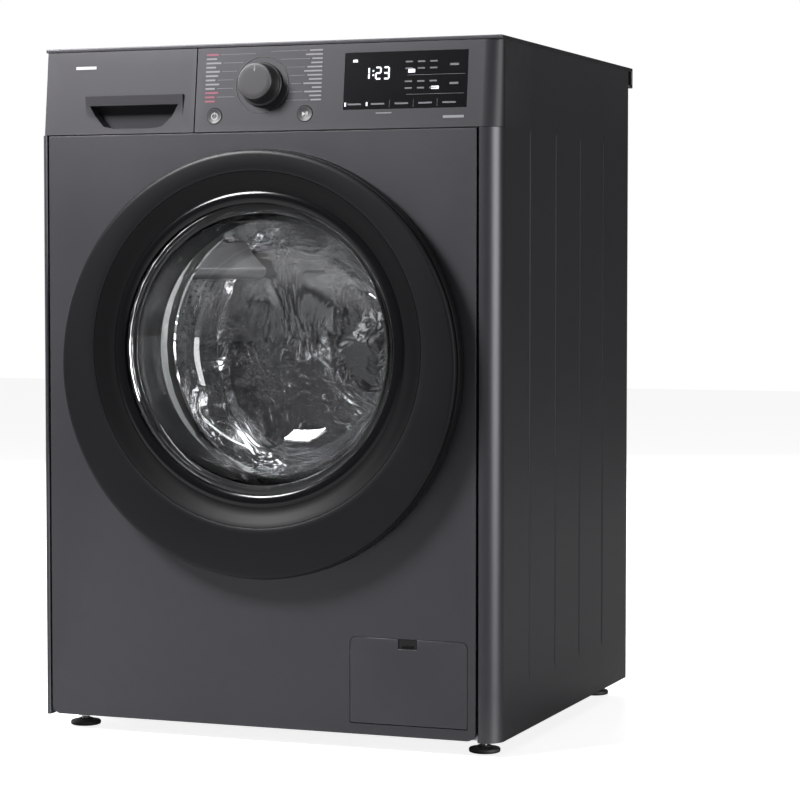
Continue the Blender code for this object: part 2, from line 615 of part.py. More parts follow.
def drum():
    centre = (0, FRONT, AXIS_Z)
    bore = DRUM_RADIUS - DRUM_SHEET
    shell = [(0, DRUM_BACK - DRUM_SHEET), (bore, DRUM_BACK - DRUM_SHEET), (bore, DRUM_FRONT + DRUM_SHEET)]
    shell += [(DRUM_MOUTH, DRUM_FRONT + DRUM_SHEET), (DRUM_MOUTH, DRUM_FRONT)]
    shell += [(DRUM_RADIUS, DRUM_FRONT), (DRUM_RADIUS, DRUM_BACK), (0, DRUM_BACK)]
    steps = 36
    turned("drum", shell, centre, STAINLESS, steps=steps, closed=False)

    star = []
    for arm in range(LIFTERS):
        turn = math.tau * arm / LIFTERS + math.pi / 2
        for radius, offset in ((0.045, -0.5), (0.205, -0.085), (0.215, 0.0), (0.205, 0.085), (0.045, 0.5)):
            angle = turn + offset
            star.append((radius * math.cos(angle), AXIS_Z + radius * math.sin(angle)))
    spider_y = (FRONT + DRUM_BACK + GAP, FRONT + DRUM_BACK + 0.0135)
    prism("drum_spider", star, "Y", *spider_y, STEEL, (0, FRONT, AXIS_Z))
    shaft = (DRUM_BACK + 0.0138, TUB_BACK + 0.052)
    rod("drum_shaft", SHAFT_RADIUS, centre, shaft, STEEL, steps=20)
    rotor = [(SHAFT_RADIUS + GAP, 0.036), (0.109, 0.036), (0.109, 0.003), (0.118, 0.003)]
    rotor += [(0.118, 0.039), (SHAFT_RADIUS + GAP, 0.039)]
    turned("rotor", [(r, TUB_BACK + y) for r, y in rotor], centre, STEEL, steps=32)

    half_base = 0.030
    base = math.sqrt((bore * math.cos(math.pi / steps)) ** 2 - half_base**2) - GAP
    for number in range(LIFTERS):
        angle = math.tau * (number + 0.5) / LIFTERS + math.pi / 2
        radial = Vector((math.cos(angle), math.sin(angle)))
        across = Vector((-radial.y, radial.x))
        tip = base - 0.048
        shape = [(base, -half_base), (base, half_base), (base - 0.020, 0.017), (tip, 0.009)]
        shape += [(tip - 0.003, 0), (tip, -0.009), (base - 0.020, -0.017)]
        outline = [radial * r + across * s for r, s in shape]
        outline = [(p.x, AXIS_Z + p.y) for p in outline]
        span = (FRONT + DRUM_FRONT + 0.018, FRONT + DRUM_BACK - 0.018)
        prism(f"lifter_{number + 1}", outline, "Y", *span, WHITE_PLASTIC, (0, FRONT, AXIS_Z))


def suspension():
    for side, word in ((-1, "left"), (1, "right")):
        spring_at = (side * 0.235, FRONT + 0.320, 0)
        rest = AXIS_Z + math.sqrt(TUB_RADIUS**2 - 0.224**2) + 0.002
        rod(f"{word}_spring", 0.011, spring_at, (rest, ROOF - 0.010 - GAP), STEEL, "Z", 16)
        at = (side * 0.150, FRONT + 0.280, 0)
        rod_top = AXIS_Z - math.sqrt(TUB_RADIUS**2 - 0.145**2) - 2 * GAP
        sleeve_top = rod_top - 0.066
        rod_low = LIFT + 0.102
        rod(f"{word}_damper_rod", 0.005, at, (rod_low, rod_top), STEEL, "Z", 16)
        bore_low = rod_low - TUB_TRAVEL - 0.003
        floor = LIFT + 0.0035 + GAP
        profile = [(0, floor), (0.012, floor), (0.012, sleeve_top), (0.0055, sleeve_top)]
        profile += [(0.0055, bore_low), (0, bore_low)]
        turned(f"{word}_damper_cylinder", profile, at, PLASTIC, "Z", 20, closed=False)


def pump():
    centre = (FILTER_X, FRONT, FILTER_Z)
    bore = FILTER_RADIUS + 0.0007
    outer = bore + 0.0053
    housing = [(bore, 0.018), (outer, 0.018), (outer, 0.163), (0.0036, 0.163), (0.0036, 0.158)]
    housing += [(0.024, 0.158), (0.024, 0.122), (bore, 0.122)]
    turned("pump_housing", housing, centre, WHITE_PLASTIC, steps=24)
    cap = [(0, 0.020), (FILTER_RADIUS, 0.020), (FILTER_RADIUS, 0.040), (0.018, 0.042), (0.018, 0.115)]
    cap += [(0, 0.115)]
    handle_x = (FILTER_X - 0.024, FILTER_X + 0.024)
    handle_z = (FILTER_Z - 0.003, FILTER_Z + 0.003)
    screw = turned("drain_filter", cap, centre, PLASTIC, steps=24, closed=False)
    unite(screw, block("filter_grip", handle_x, (FRONT + 0.007, FRONT + 0.022), handle_z, CUTTER))
    wheel = [(0, 0.126), (0.019, 0.126), (0.019, 0.150), (0.003, 0.150), (0.003, 0.175), (0, 0.175)]
    turned("pump_impeller", wheel, centre, PLASTIC, steps=24, closed=False)
    hose_at = (FILTER_X - 0.020, FRONT + 0.122, 0)
    reach = math.sqrt(TUB_RADIUS**2 - (FILTER_X - 0.036) ** 2)
    rod("sump_hose", 0.016, hose_at, (FILTER_Z + outer + GAP, AXIS_Z - reach - 0.001), RUBBER, "Z")
    start = FILTER_X + outer + 0.006
    out_x, out_z = REAR_PORTS[2][2]
    side = HALF - 0.028
    route = [(start, FRONT + 0.140, FILTER_Z), (start + 0.022, FRONT + 0.150, FILTER_Z + 0.004)]
    route += [(side, FRONT + 0.200, FILTER_Z + 0.035), (side, FRONT + 0.400, 0.220)]
    route += [(side, BACK - 0.070, 0.400), (side - 0.003, BACK - 0.045, out_z - 0.060)]
    route += [(out_x, BACK - 0.028, out_z - 0.006), (out_x, BACK - 0.008, out_z), (out_x, BACK + 0.012, out_z)]
    hose("drain_hose", route, 0.011, RUBBER)

    edge = 0.0005
    x = (COVER_X[0] + edge, COVER_X[1] - edge)
    z = (COVER_Z[0] + edge, COVER_Z[1] - edge)
    pivot = (FILTER_X, FRONT + 0.0015, z[0] + 0.0017)
    outline = rounded(x, z, COVER_CORNER - edge, COVER_FOOT)
    cover = prism("filter_cover", outline, "Y", FRONT, FRONT + 0.003, PAINTED, pivot)
    notch_x = (0.174, 0.198)
    cut(cover, block("latch_notch", notch_x, (FRONT - 1, FRONT + 1), (z[1] - 0.012, 1), CUTTER))


clear_scene()
cabinet()
feet()
front_panel()
controls()
drawer()
rear_fittings()
door()
tub()
drum()
suspension()
pump()
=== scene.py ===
# %% [markdown]
# # A front loading washing machine
# The machine is a painted steel cabinet with a plastic console, a wide black door ring round a glass bowl, and a
# stainless drum behind it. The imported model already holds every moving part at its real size. This lesson gives each
# visible part its fine shape and its finish, and never moves a part.

# %% Load the frame
import json
import math
import random

import bmesh
import bpy
from mathutils import Matrix, Vector


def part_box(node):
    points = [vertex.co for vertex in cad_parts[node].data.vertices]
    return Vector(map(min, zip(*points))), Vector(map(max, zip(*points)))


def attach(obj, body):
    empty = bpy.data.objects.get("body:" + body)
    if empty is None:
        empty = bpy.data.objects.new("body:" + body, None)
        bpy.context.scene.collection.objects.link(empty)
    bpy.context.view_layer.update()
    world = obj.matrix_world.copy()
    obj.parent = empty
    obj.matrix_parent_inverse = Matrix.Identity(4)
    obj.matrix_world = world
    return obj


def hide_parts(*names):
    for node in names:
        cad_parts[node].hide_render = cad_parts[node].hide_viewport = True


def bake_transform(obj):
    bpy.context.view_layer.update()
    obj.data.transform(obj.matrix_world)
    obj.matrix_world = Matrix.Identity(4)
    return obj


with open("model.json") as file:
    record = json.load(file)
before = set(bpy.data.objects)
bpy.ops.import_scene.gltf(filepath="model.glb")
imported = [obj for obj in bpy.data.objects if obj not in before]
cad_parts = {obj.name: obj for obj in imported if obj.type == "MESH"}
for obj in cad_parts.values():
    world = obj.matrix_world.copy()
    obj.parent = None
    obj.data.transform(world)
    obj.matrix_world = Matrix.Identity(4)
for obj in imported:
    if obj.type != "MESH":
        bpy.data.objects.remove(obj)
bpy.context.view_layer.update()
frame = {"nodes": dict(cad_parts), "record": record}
JOINTS = {joint["name"]: joint for joint in frame["record"]["behaviour"]["joints"]}

# %% [markdown]
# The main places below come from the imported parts. The console face leans back, and the knob's axis tells by how
# much, so a matrix carries anything drawn flat onto that face.

# %% Places
panel_low, panel_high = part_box("front_panel")
side_low, side_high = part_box("right_side_panel")
ring_low, ring_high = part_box("door_ring")
FRONT = panel_low.y
BACK = side_high.y
HALF = side_high.x
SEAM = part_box("control_panel")[0].z
AXIS_Z = JOINTS["drum_spin"]["pos_m"][2]
RING_Z = (ring_low.z + ring_high.z) / 2
RING_RADIUS = (ring_high.x - ring_low.x) / 2
PROUD = FRONT - ring_low.y
SHEET = 0.0012
CORNER = 0.022
LEFT_CORNER = 0.004
outward = Vector(JOINTS["knob_turn"]["axis"])
LEAN = math.atan2(outward.z, -outward.y)
CONSOLE = Matrix.Translation((0, FRONT, SEAM)) @ Matrix.Rotation(-LEAN, 4, "X")
knob_place = CONSOLE.inverted() @ Vector(JOINTS["knob_turn"]["pos_m"])
print(f"console leans back {math.degrees(LEAN):.1f} degrees, drum axis {AXIS_Z * 1000:.0f} mm up")

# %% [markdown]
# ## Camera and light
# The view is from the front, a little to the right and a little above the middle, through a long lens so that upright
# edges stay upright. A small soft box on the left brightens the upper front. A large one on the right lights no dull
# surface, and draws the bright line down the rounded corner. Others light the top, the back, the left and the drum.

# %% Camera
camera_data = bpy.data.cameras.new("camera")
camera_data.lens = 116.4
camera_data.sensor_width = 36
camera = bpy.data.objects.new("camera", camera_data)
camera.location = (1.273, FRONT - 2.859, 0.576)
camera.rotation_euler = (math.radians(90 - 2.88), 0, math.radians(20.98))
bpy.context.collection.objects.link(camera)
bpy.context.scene.camera = camera


# %% Lights
def soft_box(name, place, target, size, power, lights_surfaces=True):
    data = bpy.data.lights.new(name, "AREA")
    data.shape = "RECTANGLE"
    data.size, data.size_y = size
    data.energy = power
    light = bpy.data.objects.new(name, data)
    light.location = place
    light.rotation_euler = (Vector(target) - Vector(place)).to_track_quat("-Z", "Y").to_euler()
    light.visible_diffuse = lights_surfaces
    bpy.context.collection.objects.link(light)


soft_box("left_box", (-1.00, -1.55, 1.80), (-0.25, FRONT, 0.78), (0.6, 0.6), 80)
soft_box("corner_box", (3.2, -1.1, 0.75), (HALF, FRONT, 0.45), (2.2, 2.8), 190, lights_surfaces=False)
soft_box("top_box", (0.3, -0.6, 3.2), (0, 0, 0.4), (2.2, 2.2), 12)
soft_box("rear_box", (-1.6, 3.3, 2.0), (0, BACK, 0.45), (2.4, 2.4), 95)
soft_box("far_left_box", (-3.6, 0.6, 1.4), (-HALF, 0, 0.45), (1.6, 1.6), 40)
soft_box("drum_lamp", (0.03, FRONT + 0.125, AXIS_Z + 0.17), (-0.05, FRONT + 0.30, AXIS_Z - 0.1), (0.16, 0.03), 1.0)
world = bpy.data.worlds.new("studio")
world.use_nodes = True
bpy.context.scene.world = world
bpy.context.scene.view_settings.view_transform = "Standard"
air = world.node_tree
background = air.nodes["Background"]
background.inputs["Color"].default_value = (1, 1, 1, 1)
path = air.nodes.new("ShaderNodeLightPath")
power = air.nodes.new("ShaderNodeMapRange")
power.inputs["To Min"].default_value = 0.10
power.inputs["To Max"].default_value = 1.0
air.links.new(path.outputs["Is Camera Ray"], power.inputs["Value"])
air.links.new(power.outputs["Result"], background.inputs["Strength"])

# %% [markdown]
# ## Finishes
# Each finish starts from one node group that mottles a colour and a roughness with noise and gives a height for fine
# bumps. A second group finds where an edge has rubbed, and a third where dust settles. The groups put out only
# colours, masks and heights. The shader stays in each material.


# %% Node helpers
def put(tree, kind, inputs=(), **settings):
    """Adds a node. An input's value is a number, a colour or another node's output."""
    node = tree.nodes.new(kind)
    for name, value in settings.items():
        setattr(node, name, value)
    for name, value in dict(inputs).items():
        if isinstance(value, bpy.types.NodeSocket):
            tree.links.new(value, node.inputs[name])
        else:
            node.inputs[name].default_value = value
    return node


def maths(tree, operation, *values):
    return put(tree, "ShaderNodeMath", dict(enumerate(values)), operation=operation).outputs[0]


def new_group(name, kind, inputs, outputs):
    tree = bpy.data.node_groups.new(name, kind)
    for label, socket, value in inputs:
        made = tree.interface.new_socket(label, in_out="INPUT", socket_type=f"NodeSocket{socket}")
        if value is not None:
            made.default_value = value
    for label, socket in outputs:
        tree.interface.new_socket(label, in_out="OUTPUT", socket_type=f"NodeSocket{socket}")
    return tree, tree.nodes.new("NodeGroupInput"), tree.nodes.new("NodeGroupOutput")


# %% Grain group
grain, given, result = new_group(
    "Grain",
    "ShaderNodeTree",
    [("Vector", "Vector", None), ("Colour", "Color", (0.5, 0.5, 0.5, 1)), ("Variation", "Float", 0.1),
     ("Scale", "Float", 300.0), ("Roughness", "Float", 0.4), ("Spread", "Float", 0.08)],
    [("Colour", "Color"), ("Roughness", "Float"), ("Height", "Float")],
)
fine = put(grain, "ShaderNodeTexNoise", {"Vector": given.outputs["Vector"], "Scale": given.outputs["Scale"],
                                         "Detail": 3.0})
broad = put(grain, "ShaderNodeTexNoise", {"Vector": given.outputs["Vector"], "Scale": 7.0, "Detail": 4.0})
centred = maths(grain, "SUBTRACT", maths(grain, "ADD", fine.outputs["Fac"], broad.outputs["Fac"]), 1.0)
tone = maths(grain, "MULTIPLY_ADD", centred, given.outputs["Variation"], 1.0)
tinted = put(grain, "ShaderNodeVectorMath", {0: given.outputs["Colour"], "Scale": tone}, operation="SCALE")
rough = maths(grain, "MULTIPLY_ADD", centred, given.outputs["Spread"], given.outputs["Roughness"])
grain.links.new(tinted.outputs[0], result.inputs["Colour"])
grain.links.new(rough, result.inputs["Roughness"])
grain.links.new(fine.outputs["Fac"], result.inputs["Height"])

# %% Edge wear and dust groups
wear, given, result = new_group("Edge wear", "ShaderNodeTree", [("Vector", "Vector", None),
                                ("Amount", "Float", 0.5)], [("Mask", "Float")])
shape = put(wear, "ShaderNodeNewGeometry")
sharp = put(wear, "ShaderNodeMapRange", {"Value": shape.outputs["Pointiness"], "From Min": 0.53, "From Max": 0.62})
patchy = put(wear, "ShaderNodeTexNoise", {"Vector": given.outputs["Vector"], "Scale": 60.0, "Detail": 5.0})
rubbed = maths(wear, "MULTIPLY", sharp.outputs[0], patchy.outputs["Fac"])
wear.links.new(maths(wear, "MULTIPLY", rubbed, given.outputs["Amount"]), result.inputs["Mask"])

dust, given, result = new_group("Dust", "ShaderNodeTree", [("Vector", "Vector", None),
                                ("Amount", "Float", 0.1)], [("Mask", "Float")])
facing = put(dust, "ShaderNodeSeparateXYZ", {"Vector": put(dust, "ShaderNodeNewGeometry").outputs["Normal"]})
upward = put(dust, "ShaderNodeMapRange", {"Value": facing.outputs["Z"], "From Min": 0.3, "From Max": 1.0})
settled = put(dust, "ShaderNodeTexNoise", {"Vector": given.outputs["Vector"], "Scale": 25.0, "Detail": 6.0})
soft = maths(dust, "MULTIPLY", upward.outputs[0], settled.outputs["Fac"])
dust.links.new(maths(dust, "MULTIPLY", soft, given.outputs["Amount"]), result.inputs["Mask"])


# %% One finish from the groups
def blended(tree, mask, below, above):
    mix = put(tree, "ShaderNodeMix", {"Factor": mask}, data_type="RGBA")
    for socket, value in ((mix.inputs["A"], below), (mix.inputs["B"], above)):
        if isinstance(value, bpy.types.NodeSocket):
            tree.links.new(value, socket)
        else:
            socket.default_value = value
    return mix.outputs["Result"]


def finish(name, colour, roughness, metallic=0.0, variation=0.12, scale=350.0, spread=0.1, bump=0.02,
           worn_colour=None, worn_amount=0.6, dusty=0.06, stretch=(1, 1, 1), coat=0.0, emission=0.0, waves=None,
           specular=0.5):
    material = bpy.data.materials.new(name)
    material.use_nodes = True
    tree = material.node_tree
    shader = tree.nodes["Principled BSDF"]
    place = put(tree, "ShaderNodeTexCoord").outputs["Object"]
    mapped = put(tree, "ShaderNodeMapping", {"Vector": place, "Scale": stretch}).outputs["Vector"]
    mottled = put(tree, "ShaderNodeGroup", node_tree=grain)
    tree.links.new(mapped, mottled.inputs["Vector"])
    for label, value in (("Colour", (*colour, 1)), ("Variation", variation), ("Scale", scale),
                         ("Roughness", roughness), ("Spread", spread)):
        mottled.inputs[label].default_value = value
    shade = mottled.outputs["Colour"]
    if worn_colour:
        edges = put(tree, "ShaderNodeGroup", node_tree=wear)
        tree.links.new(place, edges.inputs["Vector"])
        edges.inputs["Amount"].default_value = worn_amount
        shade = blended(tree, edges.outputs["Mask"], shade, (*worn_colour, 1))
    if dusty:
        layer = put(tree, "ShaderNodeGroup", node_tree=dust)
        tree.links.new(place, layer.inputs["Vector"])
        layer.inputs["Amount"].default_value = dusty
        shade = blended(tree, layer.outputs["Mask"], shade, (0.35, 0.34, 0.33, 1))
    tree.links.new(shade, shader.inputs["Base Color"])
    tree.links.new(mottled.outputs["Roughness"], shader.inputs["Roughness"])
    if emission:
        tree.links.new(shade, shader.inputs["Emission Color"])
        shader.inputs["Emission Strength"].default_value = emission
    relief = put(tree, "ShaderNodeBump", {"Height": mottled.outputs["Height"], "Strength": bump,
                                          "Distance": 0.001})
    if waves:
        swell = put(tree, "ShaderNodeTexNoise", {"Vector": place, "Scale": waves[0], "Detail": 3.0,
                                                 "Distortion": 1.6})
        relief = put(tree, "ShaderNodeBump", {"Height": swell.outputs["Fac"], "Strength": 1.0,
                                              "Distance": waves[1], "Normal": relief.outputs["Normal"]})
    tree.links.new(relief.outputs["Normal"], shader.inputs["Normal"])
    shader.inputs["Metallic"].default_value = metallic
    shader.inputs["Coat Weight"].default_value = coat
    shader.inputs["Specular IOR Level"].default_value = specular
    shader.inputs["Coat Roughness"].default_value = 0.08
    return material


# %% The finishes
SILVER = (0.5, 0.5, 0.51)
graphite = finish("graphite_paint", (0.050, 0.0485, 0.0555), 0.40, 0.50, 0.18, 900, 0.06, 0.015,
                  (0.16, 0.16, 0.17), 0.5)
console_paint = finish("console_paint", (0.024, 0.0226, 0.0272), 0.48, 0.22, 0.18, 900, 0.06, 0.02,
                       (0.16, 0.16, 0.17), 0.4, specular=0.30)
ring_plastic = finish("ring_plastic", (0.0055, 0.0054, 0.0068), 0.40, 0.0, 0.15, 700, 0.08, 0.05,
                      (0.05, 0.05, 0.055), 0.3, specular=0.22, dusty=0.0)
dish_plastic = finish("dish_plastic", (0.0030, 0.0030, 0.0036), 0.45, 0.0, 0.1, 500, 0.05, 0.02, specular=0.14,
                      dusty=0.0)
black_gloss = finish("black_gloss", (0.004, 0.004, 0.005), 0.16, 0.0, 0.1, 40, 0.03, 0.0, specular=0.3)
black_plastic = finish("black_plastic", (0.018, 0.018, 0.020), 0.45, 0.0, 0.2, 600, 0.1, 0.08,
                       (0.06, 0.06, 0.06), 0.5)
knob_paint = finish("knob_paint", (0.020, 0.0185, 0.0215), 0.42, 0.25, 0.12, 900, 0.06, 0.01,
                    (0.2, 0.2, 0.2), 0.4, specular=0.30)
print_grey = finish("print_grey", (0.19, 0.19, 0.20), 0.6, 0.0, 0.3, 1500, 0.1, 0.02, dusty=0)
print_red = finish("print_red", (0.24, 0.045, 0.085), 0.6, 0.0, 0.3, 1500, 0.1, 0.02, dusty=0)
print_white = finish("print_white", (0.42, 0.42, 0.43), 0.5, 0.0, 0.15, 1500, 0.1, 0.02, dusty=0)
light_white = finish("display_light", (0.72, 0.74, 0.80), 0.5, 0.0, 0.05, 200, 0.05, 0.0, dusty=0, emission=0.70)
light_dim = finish("display_dim", (0.075, 0.075, 0.085), 0.5, 0.0, 0.1, 200, 0.05, 0.0, dusty=0, emission=0.20)
stainless = finish("stainless_drum", (0.62, 0.62, 0.63), 0.13, 1.0, 0.10, 260, 0.08, 0.03, dusty=0,
                   stretch=(1, 0.05, 1), waves=(11.0, 0.009))
steel = finish("machined_steel", SILVER, 0.32, 1.0, 0.2, 500, 0.15, 0.05, dusty=0.1)
galvanised = finish("galvanised_steel", (0.44, 0.45, 0.46), 0.42, 0.85, 0.45, 90, 0.25, 0.04)
rubber = finish("grey_rubber", (0.10, 0.10, 0.105), 0.6, 0.0, 0.15, 500, 0.1, 0.12, dusty=0.1)
gasket_rubber = finish("gasket_rubber", (0.018, 0.018, 0.020), 0.5, 0.0, 0.15, 500, 0.1, 0.12, dusty=0.0)
foot_rubber = finish("foot_rubber", (0.022, 0.022, 0.023), 0.62, 0.0, 0.2, 500, 0.1, 0.15, dusty=0.25)
tub_plastic = finish("tub_plastic", (0.52, 0.53, 0.52), 0.5, 0.0, 0.1, 200, 0.1, 0.1)
lifter_plastic = finish("lifter_plastic", (0.10, 0.10, 0.105), 0.35, 0.0, 0.1, 300, 0.1, 0.05, dusty=0)
tray_plastic = finish("tray_plastic", (0.60, 0.62, 0.64), 0.38, 0.0, 0.06, 300, 0.08, 0.04, dusty=0.03)
concrete = finish("counterweight_concrete", (0.33, 0.32, 0.30), 0.9, 0.0, 0.6, 120, 0.1, 0.7, dusty=0.2)
copper = finish("copper_winding", (0.55, 0.22, 0.11), 0.35, 1.0, 0.3, 900, 0.1, 0.3, stretch=(1, 6, 1))
board_green = finish("circuit_board", (0.015, 0.10, 0.045), 0.4, 0.0, 0.5, 180, 0.15, 0.1)
# Painted shade: a near-black colour for the drum's hole discs, the screws' cross slots and the rear vent bars,
# standing in for the dark inside open holes.
painted_hole_shade = finish("painted_hole_shade", (0.004, 0.012, 0.013), 0.5, 0.0, 0.2, 400, 0.1, 0.02, dusty=0)

# %% [markdown]
# Glass is the one finish without the grain group's colour: its shader bends light, and a faint unevenness in its
# normal makes the drum's reflections wander as they do behind a pressed glass bowl.

# %% Glass
glass = bpy.data.materials.new("door_glass")
glass.use_nodes = True
tree = glass.node_tree
shader = tree.nodes["Principled BSDF"]
shader.inputs["Base Color"].default_value = (0.93, 0.95, 0.95, 1)
shader.inputs["Roughness"].default_value = 0.02
shader.inputs["Transmission Weight"].default_value = 1.0
shader.inputs["IOR"].default_value = 1.45
ripple = put(tree, "ShaderNodeTexNoise", {"Vector": put(tree, "ShaderNodeTexCoord").outputs["Object"], "Scale": 9.0,
                                          "Detail": 2.0})
relief = put(tree, "ShaderNodeBump", {"Height": ripple.outputs["Fac"], "Strength": 0.10, "Distance": 0.004})
tree.links.new(relief.outputs["Normal"], shader.inputs["Normal"])

# %% [markdown]
# ## Shapes
# A few small helpers make most of the shapes: rings lofted round an axis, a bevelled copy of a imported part, and
# plain bars. Each finished piece sits at the origin with its place in its mesh.


# %% Piece helpers
def evenly_shaded(obj):
    """Weighs a face's shading by its area, so that a flat sheet stays flat up to a rounded edge."""
    evened = obj.modifiers.new("evened_shading", "WEIGHTED_NORMAL")
    evened.keep_sharp = True
    evened.weight = 100
    return obj


def piece(name, bm, material, body, stands_for=(), angle=35, turn_out=True):
    bmesh.ops.remove_doubles(bm, verts=bm.verts, dist=2e-6)
    if turn_out:
        bmesh.ops.recalc_face_normals(bm, faces=bm.faces)
    mesh = bpy.data.meshes.new(name)
    bm.to_mesh(mesh)
    bm.free()
    mesh.shade_smooth()
    mesh.set_sharp_from_angle(angle=math.radians(angle))
    mesh.materials.append(material)
    obj = bpy.data.objects.new(name, mesh)
    bpy.context.collection.objects.link(obj)
    if body:
        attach(obj, body)
    if stands_for:
        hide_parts(*stands_for)
    return obj


def lofted(rings, steps=128, place=Matrix.Identity(4), closed=True):
    """A closed skin through circles of (radius, y, centre z); radius 0 closes a pole."""
    bm = bmesh.new()
    loops = []
    for radius, y, z in rings:
        turns = [math.tau * i / steps for i in range(steps)]
        spots = [Vector((radius * math.cos(a), y, z + radius * math.sin(a))) for a in turns]
        loops.append([bm.verts.new(place @ spot) for spot in spots])
    pairs = list(zip(loops, loops[1:])) + ([(loops[-1], loops[0])] if closed else [])
    for one, two in pairs:
        for i in range(steps):
            j = (i + 1) % steps
            bm.faces.new((one[i], one[j], two[j], two[i]))
    return bm


def lathe(profile, z, steps=128, place=Matrix.Identity(4), closed=True):
    return lofted([(radius, y, z) for radius, y in profile], steps, place, closed)


def upright(x, y):
    """Carries a shape turned about Y onto a vertical axis."""
    return Matrix.Translation((x, y, 0)) @ Matrix.Rotation(math.pi / 2, 4, "X")


def refined(node, material, body, width=0.0006, segments=2):
    """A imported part's own shape with its flat faces merged, its edges rounded and its curves smooth."""
    bm = bmesh.new()
    bm.from_mesh(frame["nodes"][node].data)
    bmesh.ops.remove_doubles(bm, verts=bm.verts, dist=2e-6)
    bmesh.ops.dissolve_limit(bm, angle_limit=math.radians(0.6), verts=bm.verts, edges=bm.edges)
    sharp_edges = [e for e in bm.edges if e.is_manifold and e.calc_face_angle(0) > math.radians(35)]
    if width:
        bmesh.ops.bevel(bm, geom=sharp_edges, offset=width, segments=segments, profile=0.6, affect="EDGES",
                        clamp_overlap=True)
    skin = piece(f"{node}_skin", bm, material, body, (node,), turn_out=False)
    return evenly_shaded(skin)


def bar(low, high, place=Matrix.Identity(4)):
    bm = bmesh.new()
    bmesh.ops.create_cube(bm, size=1)
    size = Vector(high) - Vector(low)
    middle = (Vector(high) + Vector(low)) / 2
    bm.transform(place @ Matrix.Translation(middle) @ Matrix.Diagonal((*size, 1)))
    return bm


# %% [markdown]
# ## Repeats
# One Geometry Nodes tree copies a small shape onto points. Each point carries its own turn and stretch, so the same
# tree sets screws, printed marks and vents. Its result is made real and becomes one plain mesh.

# %% The copying tree
def finish_tree(tree, geometry, given, result):
    """Makes the copies real and gives them the finish that the modifier names."""
    real = put(tree, "GeometryNodeRealizeInstances", {"Geometry": geometry})
    finished = put(tree, "GeometryNodeSetMaterial", {"Geometry": real.outputs["Geometry"],
                                                     "Material": given.outputs["Finish"]})
    tree.links.new(finished.outputs["Geometry"], result.inputs["Geometry"])


copies, given, result = new_group(
    "Copies on points",
    "GeometryNodeTree",
    [("Points", "Geometry", None), ("Shape", "Object", None), ("Finish", "Material", None)],
    [("Geometry", "Geometry")],
)
shape = put(copies, "GeometryNodeObjectInfo", {"Object": given.outputs["Shape"]})
turn = put(copies, "GeometryNodeInputNamedAttribute", {"Name": "turn"}, data_type="FLOAT_VECTOR")
stretch = put(copies, "GeometryNodeInputNamedAttribute", {"Name": "stretch"}, data_type="FLOAT_VECTOR")
turned = put(copies, "FunctionNodeEulerToRotation", {"Euler": turn.outputs["Attribute"]})
placed = put(copies, "GeometryNodeInstanceOnPoints", {
    "Points": given.outputs["Points"], "Instance": shape.outputs["Geometry"],
    "Rotation": turned.outputs["Rotation"], "Scale": stretch.outputs["Attribute"]})
finish_tree(copies, placed.outputs["Instances"], given, result)


# %% Using a tree on a piece
def grown(name, base, tree, values, material, body, smooth=35):
    """Runs a Geometry Nodes tree on a base mesh and keeps the result as a plain piece."""
    carrier = bpy.data.objects.new(f"{name}_carrier", base)
    bpy.context.collection.objects.link(carrier)
    modifier = carrier.modifiers.new("grow", "NODES")
    modifier.node_group = tree
    sockets = {item.name: item.identifier for item in tree.interface.items_tree if item.in_out == "INPUT"}
    for label, value in {**values, "Finish": material}.items():
        modifier[sockets[label]] = value
    seen = carrier.evaluated_get(bpy.context.evaluated_depsgraph_get())
    mesh = bpy.data.meshes.new_from_object(seen)
    bpy.data.objects.remove(carrier)
    mesh.name = name
    mesh.shade_smooth()
    mesh.set_sharp_from_angle(angle=math.radians(smooth))
    mesh.materials.clear()
    mesh.materials.append(material)
    obj = bpy.data.objects.new(name, mesh)
    bpy.context.collection.objects.link(obj)
    if body:
        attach(obj, body)
    print(f"{name}: {len(mesh.polygons)} faces")
    return obj


def copied(name, shape, spots, material, body):
    """Copies a shape's mesh to each (place, turn, stretch)."""
    points = bpy.data.meshes.new(f"{name}_points")
    points.from_pydata([spot[0] for spot in spots], [], [])
    for label, index in (("turn", 1), ("stretch", 2)):
        layer = points.attributes.new(label, "FLOAT_VECTOR", "POINT")
        layer.data.foreach_set("vector", [number for spot in spots for number in spot[index]])
    pattern = bpy.data.objects.new(f"{name}_pattern", shape)
    made = grown(name, points, copies, {"Shape": pattern}, material, body)
    bpy.data.objects.remove(pattern)
    return made


def as_mesh(name, bm):
    mesh = bpy.data.meshes.new(name)
    bmesh.ops.recalc_face_normals(bm, faces=bm.faces)
    bm.to_mesh(mesh)
    bm.free()
    return mesh


unit_block = as_mesh("unit_block", bar((-0.5, -0.5, -0.5), (0.5, 0.5, 0.5)))


# %% [markdown]
# ## Cabinet
# Each side is one folded sheet: a rear flange, a flat side with four long pressed ribs, and a front edge rolled round
# the corner. It is swept along its plan outline. A rib is a shallow cosine bump across and fades out at both ends.

# %% Side panels
RIB_LOW, RIB_HIGH = 0.073, 0.756
RIB_PLACES = [FRONT + 0.117 + 0.103 * number for number in range(4)]
RIB_HALF, RIB_DEPTH = 0.0040, 0.0013
RIB_FADE = 0.02
RIB_STEP = 0.007


def rib_depth(y, z):
    across = min(abs(y - place) for place in RIB_PLACES) / RIB_HALF
    along = min((z - RIB_LOW) / RIB_FADE, (RIB_HIGH - z) / RIB_FADE, 1)
    if across >= 1 or along <= 0:
        return 0.0
    return RIB_DEPTH * (0.5 + 0.5 * math.cos(math.pi * across)) * math.sin(math.pi / 2 * along)


